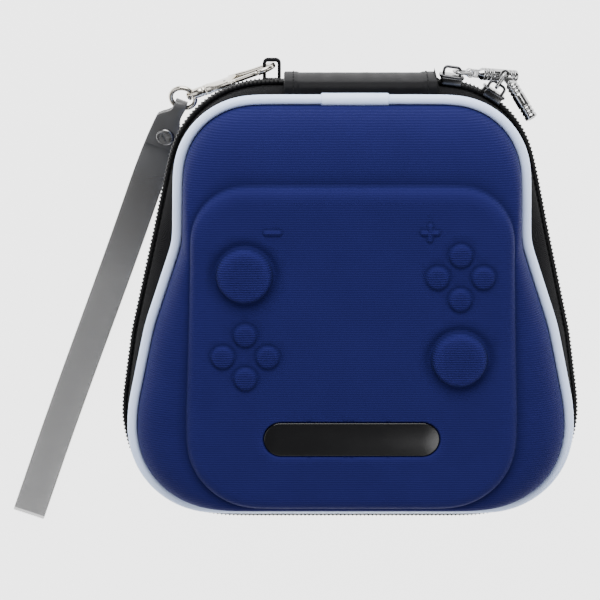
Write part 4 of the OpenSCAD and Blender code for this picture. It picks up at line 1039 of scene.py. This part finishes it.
# Swivel ring. A round ring with a socket that turns on the clasp's stud, and holds the strap.
strap_turn, strap_land, strap_bow, fold_r, screw_along = 19.5, 48.0, 2.4, 1.9, 12.5
strap_w, strap_neck_w, strap_t, strap_l, layer_play = 12.5, 4.6, 1.1, 176.0, 0.2
a = math.radians(strap_turn)
strap_dir, strap_side = np.array((-math.sin(a), -math.cos(a))), np.array((math.cos(a), -math.sin(a)))
side_3d = Vector((*strap_side, 0))
clasp_unit = clasp_dir.normalized()
clasp_side = Vector((-math.sin(clasp_turn), math.cos(clasp_turn), 0))
ring_normal = clasp_unit.cross(side_3d).normalized()
if ring_normal.z < 0:
    ring_normal = -ring_normal
ring_roll = math.atan2(-ring_normal.dot(clasp_side), ring_normal.dot(clasp_unit.cross(clasp_side)))
ring_out = side_3d.cross(ring_normal)
wire_at = ring_at + ring_out * ring_r
a = np.linspace(0, 2 * math.pi, 72, endpoint=False)
ring_path = np.stack([ring_r * np.cos(a), ring_r * np.sin(a), 0 * a], 1)
ring_rows = swept(ring_path, ring_path / ring_r, up, round_section(ring_wire_d / 2, 18))
socket_from, socket_to = ring_r - 0.4, body_x - 0.35
socket = [(socket_from, 0), (socket_from, 1.4), (socket_from + 0.3, 1.75), (socket_from + 0.8, 1.9), (socket_to - 1.6, 1.85),
          (socket_to - 1.3, 1.6), (socket_to - 1.0, 1.6), (socket_to - 0.75, 1.95), (socket_to - 0.25, 1.95), (socket_to, 1.7), (socket_to, 0)]
ring_piece = built("swivel_ring_and_socket", [capped(ring_rows, closed=True), capped(turned_about_x(socket, 32))],
                   clasp_frame @ Matrix.Rotation(ring_roll, 4, "X"), [silver_made], 45)
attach(ring_piece, "ring")
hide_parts("swivel_ring")

# Wrist strap. One band of see-through smoke-grey plastic, moulded smooth with rounded edges. It is
# folded at its far end, narrows to pass the ring, turns back over itself and is screwed there.
strap_made, start, shader = new_finish("strap_smoke_clear", {"Specular IOR Level": 0.4})
place = start.node("ShaderNodeTexCoord", {}, output="Object")
milky = place.cloud(0.03, 4, 0.6)
place.cloud(0.03, 1).presses(shader, 0.0001)
(milky * 1.4 - 0.2).held().between((0.062, 0.06, 0.058, 1), (0.09, 0.091, 0.095, 1)).feeds(shader, "Base Color")
up_the_strap = start.node("ShaderNodeSeparateXYZ", {0: place}).output("Y")
# Painted shade: the band grows more opaque towards its ring end, so that it reads darker there over the white floor.
((up_the_strap + 0.08) * 0.8 + start.math("MAXIMUM", up_the_strap, 0.0) * 4.2 + 0.46 + milky * 0.06).held().feeds(shader, "Alpha")
(0.2 + milky * 0.2).feeds(shader, "Roughness")
start_slope = -ring_out.z / math.hypot(ring_out.x, ring_out.y)
layer = strap_t + layer_play
floor_z = layer - layer_play / 2
drop_z = wire_at.z - floor_z
ease = 2 - start_slope * strap_land / drop_z
wrap_o = ring_wire_d / 2 + layer_play + strap_t / 2
wrap_s = ring_r - math.sqrt(ring_r ** 2 - (strap_neck_w / 2) ** 2) + layer_play
fold_s, return_end = strap_l - fold_r - strap_t / 2, screw_along + 5


def base_z(s):
    t = min(1, s / strap_land)
    return wire_at.z - start_slope * s if s < 0 else floor_z + drop_z * (1 - t) ** 2 * (1 + ease * t)


def base_slope(s):
    t = min(1, max(0, s / strap_land))
    return drop_z / strap_land * (ease * (1 - t) ** 2 - 2 * (1 - t) * (1 + ease * t))


def on_base(s, o):
    k = math.hypot(1, base_slope(s))
    return s - o * base_slope(s) / k, base_z(s) + o / k


def from_to(a, b, t):
    return a + (b - a) * float(eased(t))


def upper_o(s):
    return from_to(0, layer / 2, (s - return_end - 0.5) / 10) + from_to(0, 2 * fold_r - layer, (s - fold_s + 34) / 34)


def lower_o(s):
    return -from_to(wrap_o, layer, s / 8) if s < return_end else -from_to(layer, layer / 2, (s - return_end) / 10)


def strap_point(s, z, side):
    bow = strap_bow * min(1, max(0, s) / 40) * math.exp(1 - min(1, max(0, s) / 40)) + 1.3 * float(eased((s - 40) / 110))
    return (wire_at[0] + strap_dir[0] * s + strap_side[0] * (side - bow), wire_at[1] + strap_dir[1] * s + strap_side[1] * (side - bow), z)


upper_stops = np.concatenate([np.linspace(8.6, 60, 44), np.linspace(64, fold_s, 40)])
strap_path = [on_base(s, upper_o(s)) for s in upper_stops]
strap_path += [(fold_s + fold_r * math.cos(t), strap_t / 2 + fold_r + fold_r * math.sin(t)) for t in np.radians(np.arange(80, -81, -10))]
strap_path += [on_base(s, lower_o(s)) for s in np.concatenate([np.linspace(fold_s, 64, 40), np.linspace(60, 0, 52)])]
strap_path += [on_base(-wrap_s + wrap_o * math.cos(t) * math.cos(math.atan(start_slope)), wrap_o * math.sin(t)) for t in np.radians(np.arange(265, 94, -10))]
strap_path += [on_base(s, from_to(wrap_o, layer, s / 8)) for s in np.linspace(0, return_end, 18)]
strap_path = np.array(strap_path)
across = outward(strap_path, False)
corner = 0.32
rows = []
for i, ((s, z), n) in enumerate(zip(strap_path, across)):
    half = from_to(strap_neck_w, strap_w, (s - 3) / 13) / 2
    wide = from_to(strap_neck_w, strap_w, (s - 1) / 5) / 2
    near = min(i, len(strap_path) - 1 - i)
    thin = strap_t / 2 * (0.7 if near == 0 else 1)
    section = [(half - corner, thin), (half - 0.1, thin - 0.1), (half, thin - corner), (half, corner - thin), (half - 0.1, 0.1 - thin), (half - corner, -thin)]
    section += [(-u - wide + half, v) for u, v in section[::-1]]
    rows.append([strap_point(s + n[0] * v, z + n[1] * v, u) for u, v in section])
strap = new_piece("wrist_strap_band", *capped(rows), [strap_made], 50)
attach(strap, "strap")
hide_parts("wrist_strap")

# Strap screw. A slotted screw with a rolled rim goes through the three layers of the strap into
# a barrel with a flat head underneath. Both are plated dark.
dark_made, start, shader = new_finish("plating_dark", {"Metallic": 1.0})
place = start.node("ShaderNodeTexCoord", {}, output="Object")
worn = place.cloud(0.002, 5, 0.65)
worn.presses(shader, 0.00002)
(worn * 1.8 - 0.4).held().between((0.06, 0.06, 0.065, 1), (0.3, 0.3, 0.3, 1)).feeds(shader, "Base Color")
(0.18 + worn * 0.2).feeds(shader, "Roughness")
stack_half = 1.5 * strap_t + layer_play
screw_frame = (Matrix.Translation(strap_point(screw_along, base_z(screw_along), 0))
               @ Matrix.Rotation(math.atan2(strap_dir[1], strap_dir[0]), 4, "Z") @ Matrix.Rotation(math.atan(-base_slope(screw_along)), 4, "Y"))
along_z = Matrix.Rotation(math.radians(-90), 4, "Y")
head = [(-3, 0), (-3, 1.1), (0, 1.1), (0, 3.4), (0.1, 3.5), (0.4, 3.5), (0.65, 3.38), (0.9, 3.1), (1.05, 2.75), (1.02, 2.45), (0.92, 2.2),
        (0.95, 1.6), (1.0, 0.8), (1.02, 0)]
screw = built("strap_screw_head", [capped(turned_about_x(head, 56))], screw_frame @ Matrix.Translation((0, 0, stack_half + 0.1)) @ along_z,
              [dark_made], 45, 0.01)
cut_points, cut_faces = capped(plate_rows(bar_outline(4.9, 0.85, 8), 0.55, 3, 0.02, 2))
cutter = built("slot_cutter", [(cut_points, cut_faces)], screw_frame @ Matrix.Translation((0, 0, stack_half + 0.1)) @ Matrix.Rotation(math.radians(40), 4, "Z"), [dark_made])
slotted = screw.modifiers.new("slot", "BOOLEAN")
slotted.operation, slotted.solver, slotted.object = "DIFFERENCE", "EXACT", cutter
bpy.context.view_layer.update()
screw.data = bpy.data.meshes.new_from_object(screw.evaluated_get(bpy.context.evaluated_depsgraph_get()))
screw.modifiers.clear()
bpy.data.objects.remove(cutter)
settled(screw, 35, 0.001)
r = 3.2
barrel = [(-0.9, 0), (-0.9, r - 0.6), (-0.8, r - 0.25), (-0.55, r), (-0.1, r), (0, r - 0.1), (0, 1.8), (2 * stack_half - 0.02, 1.8), (2 * stack_half - 0.02, 0)]
post = built("strap_screw_barrel", [capped(turned_about_x(barrel, 48))], screw_frame @ Matrix.Translation((0, 0, -stack_half - 0.1)) @ along_z,
             [dark_made], 45, 0.01)
for made, node in ((screw, "strap_screw"), (post, "strap_screw_post")):
    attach(made, "strap")
    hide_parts(node)

# Floor and light. A plain white sweep of paper under soft studio light, most of it from the
# side of the hinge.
paper_made, start, shader = new_finish("paper_white", {"Specular IOR Level": 0.0, "Roughness": 0.9,
                                                       "Emission Color": (1, 1, 1, 1), "Emission Strength": 3.4})
place = start.node("ShaderNodeTexCoord", {}, output="Object")
place.cloud(0.3, 2).between((0.12, 0.12, 0.12, 1), (0.14, 0.14, 0.14, 1)).feeds(shader, "Base Color")
floor = bpy.data.objects.new("floor", bpy.data.meshes.new("floor"))
bpy.context.scene.collection.objects.link(floor)
floor.data.from_pydata([(-4, -4, -0.0003), (4, -4, -0.0003), (4, 4, -0.0003), (-4, 4, -0.0003)], [], [(0, 1, 2, 3)])
floor.data.materials.append(paper_made)
world = bpy.data.worlds.new("studio")
bpy.context.scene.world = world
world.use_nodes = True
world.node_tree.nodes["Background"].inputs["Color"].default_value = (1, 1, 1, 1)
world.node_tree.nodes["Background"].inputs["Strength"].default_value = 0.16
for name, at, size, power in (("light_hinge_side", (-0.1, 1.15, 0.75), 1.2, 44), ("light_left", (-1.1, -0.1, 0.9), 1.0, 7),
                              ("light_right", (1.1, -0.1, 0.9), 1.0, 7), ("light_front", (0.0, -1.2, 0.9), 1.0, 3.5),
                              ("light_on_badge", (0.66, -0.6, 1.5), 0.8, 10)):
    light = bpy.data.objects.new(name, bpy.data.lights.new(name, "AREA"))
    light.data.shape, light.data.size, light.data.energy = "SQUARE", size, power
    light.location = at
    light.rotation_euler = (Vector((0, 0, 0.03)) - Vector(at)).to_track_quat("-Z", "Y").to_euler()
    bpy.context.scene.collection.objects.link(light)
